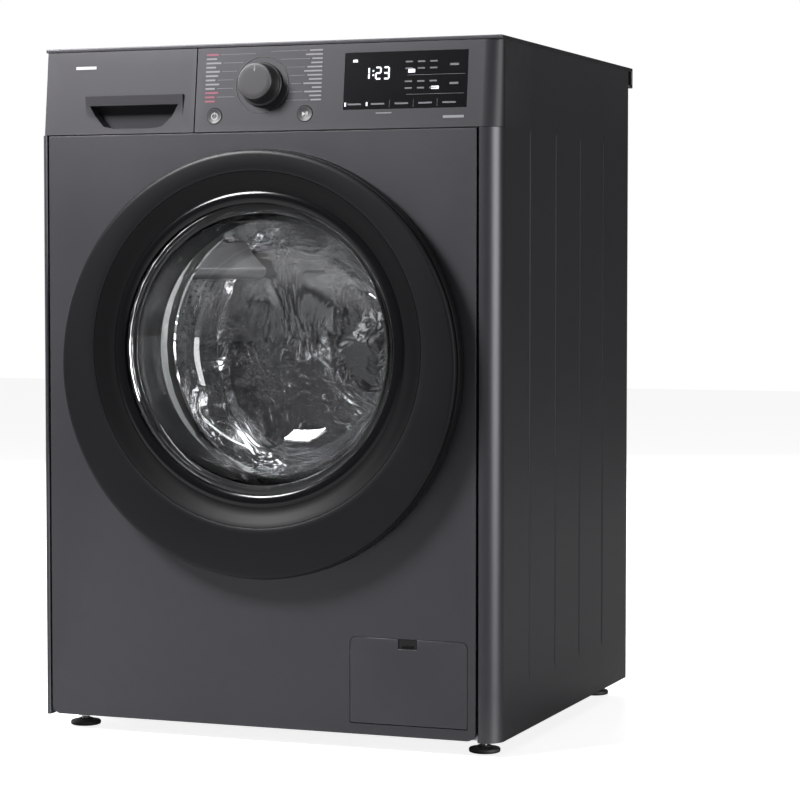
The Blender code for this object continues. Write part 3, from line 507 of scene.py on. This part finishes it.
def side_outline(corner, hem):
    """Plan points (x, y) of the outer face, from the rear flange round the side to the front hem."""
    points = [(HALF - 0.020, BACK), (HALF - 0.002, BACK), (HALF - 0.0006, BACK - 0.0006), (HALF, BACK - 0.002)]
    for place in reversed(RIB_PLACES):
        points += [(HALF, place + RIB_HALF * (1 - i / 6)) for i in range(13)]
    if corner < CORNER:
        points.append((HALF, FRONT + CORNER))
    for i in range(17):
        angle = math.pi / 2 * i / 16
        points.append((HALF - corner + corner * math.cos(angle), FRONT + corner - corner * math.sin(angle)))
    return points + [(hem + 0.001, FRONT), (hem, FRONT + 0.001), (hem, FRONT + 0.014)]


def side_skin(name, side, node, corner, hem):
    outline = side_outline(corner, hem)
    heights = [side_low.z, SEAM - 0.0005, SEAM - 0.0004, side_high.z]
    heights = sorted(heights + [end for i in range(4) for end in (RIB_LOW + RIB_STEP * i, RIB_HIGH - RIB_STEP * i)])
    bm = bmesh.new()
    grid = [[bm.verts.new((side * (x - (rib_depth(y, z) if x == HALF else 0)), y, z)) for x, y in outline]
            for z in heights]
    for low_row, high_row, z in zip(grid, grid[1:], heights[1:]):
        for i in range(len(outline) - 1):
            if z > SEAM and outline[i + 1][1] < FRONT + CORNER - 1e-5:
                continue
            bm.faces.new((low_row[i], low_row[i + 1], high_row[i + 1], high_row[i]))
    loose = [v for v in bm.verts if not v.link_faces]
    bmesh.ops.delete(bm, geom=loose, context="VERTS")
    bmesh.ops.recalc_face_normals(bm, faces=bm.faces)
    middle = max(bm.faces, key=lambda f: f.calc_area())
    if middle.normal.x * side < 0:
        bmesh.ops.reverse_faces(bm, faces=bm.faces)
    bmesh.ops.solidify(bm, geom=bm.faces, thickness=SHEET)
    obj = evenly_shaded(piece(name, bm, graphite, "cabinet", (node,), 30))
    box_low = min(v.co.x * side for v in obj.data.vertices)
    print(f"{name}: reaches {max(v.co.x * side for v in obj.data.vertices):.4f}, in to {box_low:.3f}")


HEM_GAP = 0.003
side_skin("right_side_skin", 1, "right_side_panel", CORNER, panel_high.x + HEM_GAP)
side_skin("left_side_skin", -1, "left_side_panel", LEFT_CORNER, -panel_low.x + HEM_GAP)

# %% [markdown]
# The front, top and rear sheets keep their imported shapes. Rounding their edges by half a millimetre lets them catch
# a thin line of light, as folded steel does.

# %% Sheets and covers
refined("front_panel", graphite, "cabinet", 0.0005)
refined("top_plate", graphite, "cabinet", 0.0012, 3)
refined("rear_panel", graphite, "cabinet", 0.0)
refined("rear_cover", galvanised, "cabinet", 0.0005)
refined("base_frame", galvanised, "cabinet", 0.0)
refined("control_panel", console_paint, "cabinet", 0.0005)
refined("drawer_front", console_paint, "drawer", 0.0005)
refined("drawer_tray", tray_plastic, "drawer", 0.0006)
refined("filter_cover", graphite, "cover", 0.0006)
refined("dispenser_housing", tray_plastic, "cabinet", 0.0006)

# %% [markdown]
# ## Door
# The ring's outer circle and the window aren't concentric, so the ring is lofted through circles whose centres drift
# from one to the other. From outside in: a rolled back edge, a thin groove, the flat face, then a dish that falls to
# a gloss black collar.

# %% Door ring
R, P = RING_RADIUS, PROUD
OUT, IN = RING_Z, AXIS_Z
rings = [(0.2165, -0.0012, IN), (R - 0.0125, -0.0012, OUT), (R - 0.0055, -0.0022, OUT), (R - 0.0015, -0.005, OUT)]
rings += [(R, -0.0095, OUT), (R, -0.0215, OUT), (R - 0.0006, -0.0228, OUT), (R - 0.0035, -0.0232, OUT)]
rings += [(R - 0.0038, -0.0240, OUT), (R - 0.0035, -0.0248, OUT), (R - 0.0016, -0.0252, OUT)]
rings += [(R - 0.0014, -0.0285, OUT), (R - 0.0022, -P + 0.0016, OUT), (R - 0.0040, -P + 0.0004, OUT)]
rings += [(R - 0.0070, -P, OUT), (0.222, -P + 0.0003, IN), (0.2165, -P + 0.0008, IN), (0.2145, -P + 0.0016, IN)]
rings += [(0.2140, -P + 0.0120, IN), (0.2165, -0.0125, IN)]
bm = lofted([(r, FRONT + y, z) for r, y, z in rings], 192)
pin_x, pin_y = JOINTS["door_swing"]["pos_m"][:2]
ring = piece("door_ring_skin", bm, ring_plastic, "door", ("door_ring",), 28)

# %% [markdown]
# The hinge sits in a pocket cut from the back of the ring. Booleans with three plain blocks take it out, and each is
# applied so that the ring is one plain mesh again.


# %% Hinge pocket
def carve(obj, blocks):
    for block in blocks:
        cutter = bpy.data.objects.new("cutter", as_mesh("cutter", block))
        bpy.context.collection.objects.link(cutter)
        modifier = obj.modifiers.new("pocket", "BOOLEAN")
        modifier.operation = "DIFFERENCE"
        modifier.object = cutter
        seen = obj.evaluated_get(bpy.context.evaluated_depsgraph_get())
        mesh = bpy.data.meshes.new_from_object(seen)
        obj.modifiers.remove(modifier)
        obj.data = mesh
        bpy.data.objects.remove(cutter)
    obj.data.set_sharp_from_angle(angle=math.radians(28))


knuckles = [RING_Z - 0.035, RING_Z + 0.035]
pockets = [bar((pin_x - 0.0045, pin_y - 0.0055, knuckles[0] - 0.010),
               (pin_x + 0.0065, FRONT + 0.01, knuckles[1] + 0.010))]
pockets += [bar((-HALF, pin_y - 0.0085, z - 0.008), (pin_x, FRONT + 0.01, z + 0.008)) for z in knuckles]
carve(ring, pockets)
print("door ring:", len(ring.data.polygons), "faces")

# %% Dish, collar, glass bowl and its rim
dish = [(0.2139, -P + 0.0017), (0.2110, -P + 0.0026), (0.2070, -P + 0.0046), (0.2020, -P + 0.0074)]
dish += [(0.1970, -P + 0.0096), (0.1925, -P + 0.0107), (0.1905, -P + 0.0110), (0.1904, -0.0126), (0.2139, -0.0126)]
piece("door_dish", lathe([(r, FRONT + y) for r, y in dish], AXIS_Z, 160), dish_plastic, "door", (), 40)
collar = [(0.1902, -P + 0.0112), (0.1880, -P + 0.0100), (0.1850, -P + 0.0098), (0.1790, -P + 0.0104)]
collar += [(0.1765, -P + 0.0118), (0.1760, -0.0125), (0.1902, -0.0125)]
piece("window_collar", lathe([(r, FRONT + y) for r, y in collar], AXIS_Z, 160), black_gloss, "door", (), 30)
bowl = [(0, 0.1180), (0.030, 0.1176), (0.050, 0.1165), (0.075, 0.1145), (0.095, 0.1115), (0.113, 0.1060)]
bowl += [(0.128, 0.0975), (0.139, 0.0870), (0.148, 0.0730), (0.154, 0.0580), (0.158, 0.0420), (0.162, 0.0200)]
bowl += [(0.1668, -0.0060), (0.1745, -0.0064), (0.1752, -0.0080), (0.1752, -0.0165), (0.1740, -0.0185)]
bowl += [(0.1712, -0.0192), (0.1685, -0.0185), (0.1665, -0.0160), (0.1625, -0.0020), (0.157, 0.0190)]
bowl += [(0.153, 0.0400), (0.149, 0.0560), (0.1432, 0.0700), (0.1345, 0.0830), (0.1240, 0.0930)]
bowl += [(0.109, 0.1010), (0.092, 0.1064), (0.073, 0.1094), (0.049, 0.1113), (0.029, 0.1125), (0, 0.1129)]
bm = lathe([(r, FRONT + y) for r, y in bowl], AXIS_Z, 160, closed=False)
piece("glass_bowl", bm, glass, "door", ("door_glass",), 30)

# %% [markdown]
# ## Drum
# The drum is a rolled stainless wall with a curled front lip and a pressed back. Its perforations come from a
# Geometry Nodes tree: a flat grid is wrapped into a cylinder, every other row is shifted half a step, the points
# under the lifters are dropped, and a small dark disc is set on each that is left. The discs are painted shade,
# standing in for the dark seen through open holes.

# %% Drum wall
drum_low, drum_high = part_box("drum")
front_y, back_y = drum_low.y, drum_high.y
shell = [(0, back_y - 0.0050), (0.030, back_y - 0.0050), (0.045, back_y - 0.0090), (0.080, back_y - 0.0090)]
shell += [(0.095, back_y - 0.0020), (0.215, back_y - 0.0020), (0.228, back_y - 0.0045), (0.2362, back_y - 0.0140)]
shell += [(0.2385, back_y - 0.0300), (0.2385, front_y + 0.0300), (0.2355, front_y + 0.0160)]
shell += [(0.2250, front_y + 0.0075), (0.1850, front_y + 0.0060), (0.1765, front_y + 0.0075)]
shell += [(0.1735, front_y + 0.0050), (0.1722, front_y + 0.0020), (0.1740, front_y + 0.0004)]
shell += [(0.1765, front_y + 0.0022), (0.1850, front_y + 0.0045), (0.2260, front_y + 0.0060)]
shell += [(0.2370, front_y + 0.0150), (0.2399, front_y + 0.0300), (0.2399, back_y - 0.0300)]
shell += [(0.2376, back_y - 0.0130), (0.2285, back_y - 0.0030), (0.2155, back_y - 0.0003), (0, back_y - 0.0003)]
piece("drum_shell", lathe(shell, AXIS_Z, 144, closed=False), stainless, "drum", ("drum",), 30)

# %% Perforations
holes, given, result = new_group(
    "Drum perforations",
    "GeometryNodeTree",
    [("Geometry", "Geometry", None), ("Radius", "Float", 0.2), ("Length", "Float", 0.2), ("Middle", "Vector", None),
     ("Columns", "Int", 100), ("Rows", "Int", 20), ("Hole", "Float", 0.002), ("Lifters", "Int", 3),
     ("Clear", "Float", 0.2), ("Finish", "Material", None)],
    [("Geometry", "Geometry")],
)
sheet = put(holes, "GeometryNodeMeshGrid", {"Size X": math.tau, "Size Y": given.outputs["Length"],
                                            "Vertices X": given.outputs["Columns"],
                                            "Vertices Y": given.outputs["Rows"]})
spot = put(holes, "ShaderNodeSeparateXYZ", {"Vector": put(holes, "GeometryNodeInputPosition").outputs[0]})
number = put(holes, "GeometryNodeInputIndex")
odd = maths(holes, "MODULO", number.outputs[0], 2.0)
step = maths(holes, "DIVIDE", math.tau / 2, given.outputs["Columns"])
angle = maths(holes, "ADD", spot.outputs["X"], maths(holes, "MULTIPLY", odd, step))
radial = put(holes, "ShaderNodeCombineXYZ", {"X": maths(holes, "SINE", angle), "Z": maths(holes, "COSINE", angle)})
wall = put(holes, "ShaderNodeVectorMath", {0: radial.outputs[0], "Scale": given.outputs["Radius"]}, operation="SCALE")
along = put(holes, "ShaderNodeCombineXYZ", {"Y": spot.outputs["Y"]})
around = put(holes, "ShaderNodeVectorMath", {0: wall.outputs[0], 1: along.outputs[0]}, operation="ADD")
moved = put(holes, "ShaderNodeVectorMath", {0: around.outputs[0], 1: given.outputs["Middle"]}, operation="ADD")
wrapped = put(holes, "GeometryNodeSetPosition", {"Geometry": sheet.outputs["Mesh"], "Position": moved.outputs[0]})
under = maths(holes, "COSINE", maths(holes, "MULTIPLY", angle, given.outputs["Lifters"]))
covered = put(holes, "FunctionNodeCompare", {"A": under, "B": given.outputs["Clear"]},
              data_type="FLOAT", operation="LESS_THAN")
kept_direction = put(holes, "GeometryNodeStoreNamedAttribute", {
    "Geometry": wrapped.outputs["Geometry"], "Name": "inward", "Value": radial.outputs[0]},
    data_type="FLOAT_VECTOR", domain="POINT")
open_wall = put(holes, "GeometryNodeDeleteGeometry", {"Geometry": kept_direction.outputs["Geometry"],
                                                      "Selection": covered.outputs["Result"]})
cone = put(holes, "GeometryNodeMeshCone", {"Vertices": 10, "Radius Top": given.outputs["Hole"],
                                           "Radius Bottom": given.outputs["Hole"], "Depth": 0.0006})
remembered = put(holes, "GeometryNodeInputNamedAttribute", {"Name": "inward"}, data_type="FLOAT_VECTOR")
aligned = put(holes, "FunctionNodeAlignRotationToVector", {"Vector": remembered.outputs["Attribute"]}, axis="Z")
set_holes = put(holes, "GeometryNodeInstanceOnPoints", {
    "Points": open_wall.outputs["Geometry"], "Instance": cone.outputs["Mesh"],
    "Rotation": aligned.outputs["Rotation"]})
finish_tree(holes, set_holes.outputs["Instances"], given, result)
middle = Vector((0, (front_y + back_y) / 2, AXIS_Z))
# The dark discs set here are painted shade for the open perforations.
grown("drum_perforations", bpy.data.meshes.new("empty_base"), holes, {
    "Radius": 0.2383, "Length": back_y - front_y - 0.070, "Middle": middle, "Columns": 97, "Rows": 17,
    "Hole": 0.0026, "Lifters": 3, "Clear": -0.35}, painted_hole_shade, "drum")

# %% [markdown]
# ## Door gasket
# The gasket is a folded rubber sleeve between the front panel and the tub. The tub bounces on its springs; the
# sleeve is joined to no body.

# %% Gasket
folds = [(0.180, 0.0197), (0.1953, 0.0197), (0.1953, 0.0255), (0.1905, 0.0275), (0.1900, 0.0340), (0.1945, 0.0400)]
folds += [(0.1945, 0.0480), (0.1900, 0.0530), (0.1900, 0.0600), (0.1952, 0.0650), (0.1952, 0.0778), (0.1875, 0.0778)]
folds += [(0.1872, 0.0690), (0.1832, 0.0650), (0.1830, 0.0560), (0.1875, 0.0490), (0.1872, 0.0475)]
folds += [(0.1780, 0.0478), (0.1700, 0.0470), (0.1625, 0.0448), (0.1613, 0.0432), (0.1622, 0.0421)]
folds += [(0.1700, 0.0432), (0.1800, 0.0420), (0.1835, 0.0385), (0.1830, 0.0285), (0.1803, 0.0260)]
gasket = piece("gasket_skin", lathe([(r, FRONT + y) for r, y in folds], AXIS_Z, 128), gasket_rubber, None, (), 50)
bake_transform(gasket)
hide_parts("door_gasket")


# %% [markdown]
# ## Controls
# The console carries a rotary knob, two round keys, a black glass display and rows of fine printed marks. The marks
# are plain bars of mixed widths that stand for a programme list. They are drawn flat and carried onto the face.

# %% Knob
K = Matrix.Translation(Vector(JOINTS["knob_turn"]["pos_m"])) @ Matrix.Rotation(-LEAN, 4, "X")
knob = [(0, -0.0236), (0.0150, -0.0237), (0.0205, -0.0239), (0.0216, -0.0236), (0.0222, -0.0228)]
knob += [(0.0228, -0.0150), (0.0236, -0.0070), (0.0246, -0.0050), (0.0264, -0.0042), (0.0269, -0.0034)]
knob += [(0.0269, -0.0007), (0.0040, -0.0007), (0.0040, 0.0150), (0, 0.0150)]
piece("knob_body", lathe(knob, 0, 128, K, closed=False), black_plastic, "knob", ("programme_knob",), 30)
face = [(0, -0.0240), (0.0150, -0.02400), (0.0196, -0.0240), (0.0204, -0.0239), (0.0204, -0.0237), (0, -0.0237)]
piece("knob_face", lathe(face, 0, 128, K, closed=False), knob_paint, "knob", (), 20)
piece("knob_pointer", bar((-0.0008, -0.02400, 0.0120), (0.0008, -0.0238, 0.0190), K), print_white, "knob")
trim = [(0.0335, -0.0001), (0.0339, -0.0007), (0.0346, -0.0007), (0.0350, -0.0001), (0.0350, 0.0004), (0.0335, 0.0004)]
piece("knob_ring", lathe(trim, 0, 128, K), black_plastic, "cabinet", (), 40)

# %% Keys
for name, body in (("power_button", "power_key"), ("start_button", "start_key")):
    low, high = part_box(name)
    centre = (low + high) / 2
    local = CONSOLE.inverted() @ centre
    B = CONSOLE @ Matrix.Translation((local.x, 0, local.z))
    cap = [(0, -0.0005), (0.0070, -0.0005), (0.0080, -0.0009), (0.0090, -0.0009), (0.0097, -0.0004)]
    cap += [(0.0098, 0.0034), (0.0117, 0.0034), (0.0117, 0.0055), (0, 0.0055)]
    piece(f"{name}_cap", lathe(cap, 0, 64, B, closed=False), black_plastic, body, (name,), 30)
    if name == "power_button":
        arc = [(0.0034, -0.0008), (0.0042, -0.0008), (0.0042, -0.0004), (0.0034, -0.0004)]
        piece("power_symbol", lathe(arc, 0, 48, B), print_white, body)
        piece("power_symbol_bar", bar((-0.0004, -0.00095, 0.0012), (0.0004, -0.0005, 0.0052), B), print_white, body)
    else:
        bm = bmesh.new()
        corners = ((-0.0034, -0.0026), (-0.0034, 0.0026), (0.0008, 0.0))
        bm.faces.new([bm.verts.new(B @ Vector((x, -0.00095, z))) for x, z in corners])
        bmesh.ops.solidify(bm, geom=bm.faces, thickness=0.0003)
        piece("play_symbol", bm, print_white, body)
        for side, x in (("left", 0.0014), ("right", 0.0030)):
            bm = bar((x, -0.00095, -0.0026), (x + 0.0009, -0.0006, 0.0026), B)
            piece(f"pause_symbol_{side}", bm, print_white, body)


# %% Printed marks
def face_spot(x, z, width, height, proud=0.0001):
    """A flat bar on the console at x across and z up, as (place, turn, stretch)."""
    place = CONSOLE @ Vector((x, -proud, z))
    return place, tuple(CONSOLE.to_euler()), (width, 0.0002, height)


random.seed(7)
grey, red, leaders = [], [], []
LEADER_RADIUS = 0.038
LINE = 0.0004


def programme_list(side, edge, rows, top, pitch, height, red_rows=()):
    """Lines of words on one side of the knob, with a leader to every second one."""
    for row in range(rows):
        z = top - pitch * row
        words = random.uniform(0.012, 0.024)
        (red if row in red_rows else grey).append(face_spot(edge - side * words / 2, z, words, height))
        near = knob_place.x + side * math.sqrt(max(LEADER_RADIUS**2 - (z - knob_place.z) ** 2, 0.0001))
        far = edge - side * (words + 0.003)
        if row % 2 == 0 and side * (far - near) > 0.004:
            leaders.append(face_spot((near + far) / 2, z, side * (far - near), LINE))


programme_list(-1, -0.079, 12, 0.0945, 0.0052, 0.0020, (0, 9, 10, 11))
programme_list(1, 0.074, 13, 0.0965, 0.0050, 0.0018)
grey += [face_spot(-0.120, 0.0435, 0.012, 0.0025)]
grey += [face_spot(0.243, 0.0125, 0.026, 0.0030), face_spot(0.155, 0.0185, 0.020, 0.0012)]
copied("programme_marks", unit_block, grey, print_grey, "cabinet")
copied("programme_marks_red", unit_block, red, print_red, "cabinet")
copied("leader_lines", unit_block, leaders, print_grey, "cabinet")

# %% [markdown]
# The display is a sheet of black glass flush with the console. Its digits are seven-segment strokes, and the tables
# hold only what the figures shown need.

# %% Display
refined("display_window", black_gloss, "cabinet", 0.0003, 2)
SEGMENTS = {"1": "bc", "2": "abged", "3": "abgcd"}
STROKES = {"a": (0.5, 1.0, 1), "b": (1.0, 0.75, 0), "c": (1.0, 0.25, 0), "d": (0.5, 0.0, 1), "e": (0.0, 0.25, 0),
           "g": (0.5, 0.5, 1)}
lit = []
DIGIT_WIDE, DIGIT_HIGH, STROKE = 0.0062, 0.0135, 0.0020
digit_x = 0.1345
for figure in "1:23":
    if figure == ":":
        lit += [face_spot(digit_x + 0.0012, z, 0.0020, 0.0020) for z in (0.0640, 0.0690)]
        digit_x += 0.0045
        continue
    narrow = figure == "1"
    for stroke in SEGMENTS[figure]:
        u, v, flat = STROKES[stroke]
        size = (DIGIT_WIDE - 0.0008, STROKE) if flat else (STROKE, DIGIT_HIGH / 2 - 0.0008)
        x = digit_x + (0.0 if narrow else u * DIGIT_WIDE)
        lit.append(face_spot(x, 0.0595 + v * DIGIT_HIGH, *size))
    digit_x += 0.0042 if narrow else DIGIT_WIDE + 0.0042
lit += [face_spot(0.1165, 0.0815, 0.006, 0.0030), face_spot(0.1885, 0.0680, 0.0085, 0.0042)]
lit += [face_spot(0.2185, 0.0475, 0.0095, 0.0036), face_spot(0.1055, 0.0295, 0.0020, 0.0045)]
lit += [face_spot(0.1330, 0.0295, 0.0020, 0.0045)]
dim = [face_spot(0.185 + 0.0155 * i, upper - 0.0080 * j, 0.009, 0.0018)
       for upper in (0.0790, 0.0555) for i in range(3) for j in range(2)]
dim += [face_spot(0.242, z, 0.011, 0.0026) for z in (0.0745, 0.0520)]
dim += [face_spot(0.219, z, 0.072, LINE) for z in (0.0630, 0.0400)]
dim += [face_spot(0.117 + 0.030 * i, 0.0295, 0.017, 0.0020) for i in range(5)]
dim += [face_spot(0.162 + 0.030 * i, 0.0295, LINE, 0.0090) for i in range(3)]
copied("display_digits", unit_block, lit, light_white, "cabinet")
copied("display_labels", unit_block, dim, light_dim, "cabinet")
badge = CONSOLE @ Matrix.Translation((-0.243, 0, 0.083))
piece("plain_badge", bar((-0.014, -0.0003, -0.0018), (0.014, 0.0004, 0.0018), badge), print_white, "drawer")

# %% [markdown]
# ## Inside and behind
# The parts behind the glass are seen through it, and the rest from the back or with the door and drawer open. The
# lifters get rounded edges. The springs are real coils: a Geometry Nodes tree sweeps a small circle along a spiral.
# Each hangs between the top rail and the tub.

# %% Lifters and cast parts
for number in (1, 2, 3):
    refined(f"lifter_{number}", lifter_plastic, "drum", 0.0030, 3)
refined("upper_counterweight", concrete, "tub", 0.0030, 2)
refined("hinge_bracket", steel, "cabinet", 0.0003, 1)
refined("control_board", board_green, "cabinet", 0.0002, 1)


# %% Coil springs
def round_box(node):
    """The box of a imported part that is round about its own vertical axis: its centre, radius, foot and top."""
    low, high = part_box(node)
    return (low.x + high.x) / 2, (low.y + high.y) / 2, (high.x - low.x) / 2, low.z, high.z


coil, given, result = new_group(
    "Coil spring", "GeometryNodeTree",
    [("Geometry", "Geometry", None), ("Turns", "Float", 12.0), ("Radius", "Float", 0.01), ("Height", "Float", 0.2),
     ("Wire", "Float", 0.001), ("Bottom", "Vector", None), ("Finish", "Material", None)],
    [("Geometry", "Geometry")])
spiral = put(coil, "GeometryNodeCurveSpiral", {"Resolution": 20, "Rotations": given.outputs["Turns"],
                                               "Start Radius": given.outputs["Radius"],
                                               "End Radius": given.outputs["Radius"],
                                               "Height": given.outputs["Height"]})
circle = put(coil, "GeometryNodeCurvePrimitiveCircle", {"Resolution": 8, "Radius": given.outputs["Wire"]})
swept = put(coil, "GeometryNodeCurveToMesh", {"Curve": spiral.outputs["Curve"], "Fill Caps": True,
                                              "Profile Curve": circle.outputs["Curve"]})
lifted = put(coil, "GeometryNodeTransform", {"Geometry": swept.outputs["Mesh"],
                                             "Translation": given.outputs["Bottom"]})
finish_tree(coil, lifted.outputs["Geometry"], given, result)
WIRE = 0.0016
for side in ("left", "right"):
    x, y, radius, foot, top = round_box(f"{side}_spring")
    spring = grown(f"{side}_coil", bpy.data.meshes.new("empty_base"), coil, {
        "Turns": 26.0, "Radius": radius - WIRE - 0.0002, "Height": top - foot - 2.4 * WIRE, "Wire": WIRE,
        "Bottom": Vector((x, y, foot + 1.2 * WIRE))}, steel, None)
    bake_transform(spring)
    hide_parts(f"{side}_spring")


# %% Bellows hoses
CUFF = 0.012


def bellows(name, node, folds):
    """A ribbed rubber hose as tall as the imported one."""
    x, y, outer, foot, top = round_box(node)
    cuff, wall = outer - 0.0030, outer - 0.005
    length = top - foot - 2 * CUFF
    profile = [(wall, foot), (cuff, foot), (cuff, foot + CUFF)]
    for i in range(folds * 6 + 1):
        lift = 0.5 - 0.5 * math.cos(math.tau * i / 6)
        profile.append((outer - 0.0035 + 0.0033 * lift, foot + CUFF + length * i / (folds * 6)))
    profile += [(cuff, top - CUFF), (cuff, top), (wall, top)]
    skin = piece(name, lathe(profile, 0, 32, upright(x, y)), rubber, None, (), 60)
    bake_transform(skin)
    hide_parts(node)


bellows("dispenser_bellows", "dispenser_hose", 3)
bellows("sump_bellows", "sump_hose", 10)

# %% [markdown]
# ## Feet, filter and screws
# Each foot is a rubber pad under a steel stud with a hexagon lock nut. The screws on the back, their cross slots and
# the vents all use the copying tree, with one small pattern each. The slots and vents are near-black bars, painted
# shade in place of open recesses.

# %% Feet
THREAD = 0.0015
for number, corner in enumerate(("front_left", "front_right", "rear_left", "rear_right"), 1):
    x, y, r, _, top = round_box(f"foot_{number}")
    pad = [(0, 0), (r - 0.0020, 0), (r - 0.0005, 0.0006), (r, 0.0020), (r, 0.0042), (r - 0.0010, 0.0054)]
    pad += [(r - 0.0050, 0.0062), (0.0090, 0.0072), (0.0085, 0.0082), (0, 0.0082)]
    place = upright(x, y)
    piece(f"foot_pad_{number}", lathe(pad, 0, 48, place, closed=False), foot_rubber, f"{corner}_foot",
          (f"foot_{number}",), 40)
    thread = [(0, 0.0080)]
    for i in range(22):
        thread += [(0.0049, 0.0082 + THREAD * i), (0.0042, 0.0082 + THREAD * (i + 0.5))]
    thread += [(0.0042, top - 0.0003), (0, top - 0.0003)]
    piece(f"foot_stud_{number}", lathe(thread, 0, 24, place, closed=False), steel, f"{corner}_foot", (), 40)
    bm = bmesh.new()
    bmesh.ops.create_cone(bm, cap_ends=True, segments=6, radius1=0.0092, radius2=0.0092, depth=0.0030)
    bm.transform(Matrix.Translation((x, y, 0.0128)))
    piece(f"lock_nut_{number}", bm, steel, f"{corner}_foot")

# %% Screws
pattern = as_mesh("screw_head", lathe([(0, -0.0016), (0.0022, -0.0016), (0.0036, -0.0010), (0.0042, -0.0002),
                                       (0.0042, 0.0), (0, 0.0)], 0, 16, closed=False))
cross = as_mesh("screw_cross", bar((-0.0022, -0.00175, -0.0004), (0.0022, -0.0012, 0.0004)))
rear_y, cover_y, top_y = (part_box(node)[1].y for node in ("rear_panel", "rear_cover", "top_plate"))
AWAY = (0, 0, math.pi)
FULL = (1, 1, 1)
back_screws = [((side * 0.286, rear_y, z), AWAY, FULL)
               for side in (-1, 1) for z in (0.05, 0.20, 0.35, 0.50, 0.65, 0.79)]
back_screws += [((side * 0.165, cover_y, z), AWAY, FULL)
                for side in (-1, 1) for z in (0.305, 0.475, 0.645)]
back_screws += [((x, top_y - 0.0018, 0.8365), AWAY, FULL) for x in (-0.24, 0.24)]
copied("back_screws", pattern, back_screws, steel, "cabinet")
# The cross slots are near-black bars on each head: painted shade in place of the recessed slots.
crosses = [(place, (0, turn, math.pi), FULL) for place, _, _ in back_screws for turn in (0, math.pi / 2)]
copied("back_screw_slots", cross, crosses, painted_hole_shade, "cabinet")
# The vents are near-black bars on the rear sheets: painted shade in place of open louvre slots.
vents = [((x, rear_y + 0.0001, z), (0, 0, 0), (0.045, 0.0003, 0.0035))
         for x in (-0.235, 0.235) for z in [0.10 + 0.012 * i for i in range(9)]]
vents += [((x, cover_y - 0.0001, z), (0, 0, 0), (0.060, 0.0006, 0.0035))
          for x in (-0.05, 0.05) for z in [0.33 + 0.012 * i for i in range(6)]]
copied("rear_louvres", unit_block, vents, painted_hole_shade, "cabinet")

# %% Filter latch and console seams
latch_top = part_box("filter_cover")[1].z
bm = bar((0.1748, FRONT + 0.0016, latch_top - 0.0115), (0.1972, FRONT + 0.0028, latch_top + 0.0002))
piece("cover_latch", bm, black_gloss, "cabinet")
bm = bar((0.1790, FRONT + 0.0004, latch_top - 0.0112), (0.1930, FRONT + 0.0016, latch_top - 0.0080))
piece("cover_latch_lip", bm, dish_plastic, "cabinet")
# A thin near-black bar sunk in the joint under the console is painted shade: it darkens the gap between console and
# front panel.
seam_shade_bar = bar((-HALF + 0.024, FRONT + 0.0016, SEAM - 0.0012), (HALF - 0.024, FRONT + 0.0040, SEAM - 0.0002))
piece("console_seam", seam_shade_bar, black_plastic, "cabinet")


# %% [markdown]
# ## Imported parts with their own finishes
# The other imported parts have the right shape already, so each keeps it and gets one of the finishes in place of the
# packed colour.

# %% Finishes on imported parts
finishes = {
    "black_plastic": black_plastic, "stainless": stainless, "steel": steel, "galvanised": galvanised,
    "grey_plastic": tub_plastic, "concrete": concrete, "rubber": rubber, "foot_rubber": foot_rubber,
    "circuit_board": board_green, "copper": copper, "graphite_paint": graphite, "graphite_plastic": console_paint,
    "display_glass": black_gloss, "door_glass": glass,
}
for name, obj in frame["nodes"].items():
    for slot in obj.material_slots:
        slot.material = finishes[slot.material.name.split(".")[0]]
print(len(frame["nodes"]), "packed parts finished")

# %% [markdown]

# %% [markdown]
# ## Floor
# A wide pale floor runs out behind the machine until it meets the white surroundings.

# %% Floor
bm = bmesh.new()
bmesh.ops.create_grid(bm, x_segments=1, y_segments=1, size=9)
floor_mesh = bpy.data.meshes.new("floor")
bm.to_mesh(floor_mesh)
bm.free()
floor_finish = finish("pale_floor", (0.60, 0.60, 0.60), 0.6, 0.0, 0.02, 30, 0.05, 0.0, dusty=0)
tree = floor_finish.node_tree
seen = put(tree, "ShaderNodeLightPath").outputs["Is Camera Ray"]
tree.nodes["Principled BSDF"].inputs["Emission Color"].default_value = (1, 1, 1, 1)
tree.links.new(maths(tree, "MULTIPLY", seen, 0.86), tree.nodes["Principled BSDF"].inputs["Emission Strength"])
floor_mesh.materials.append(floor_finish)
floor = bpy.data.objects.new("floor", floor_mesh)
bpy.context.collection.objects.link(floor)
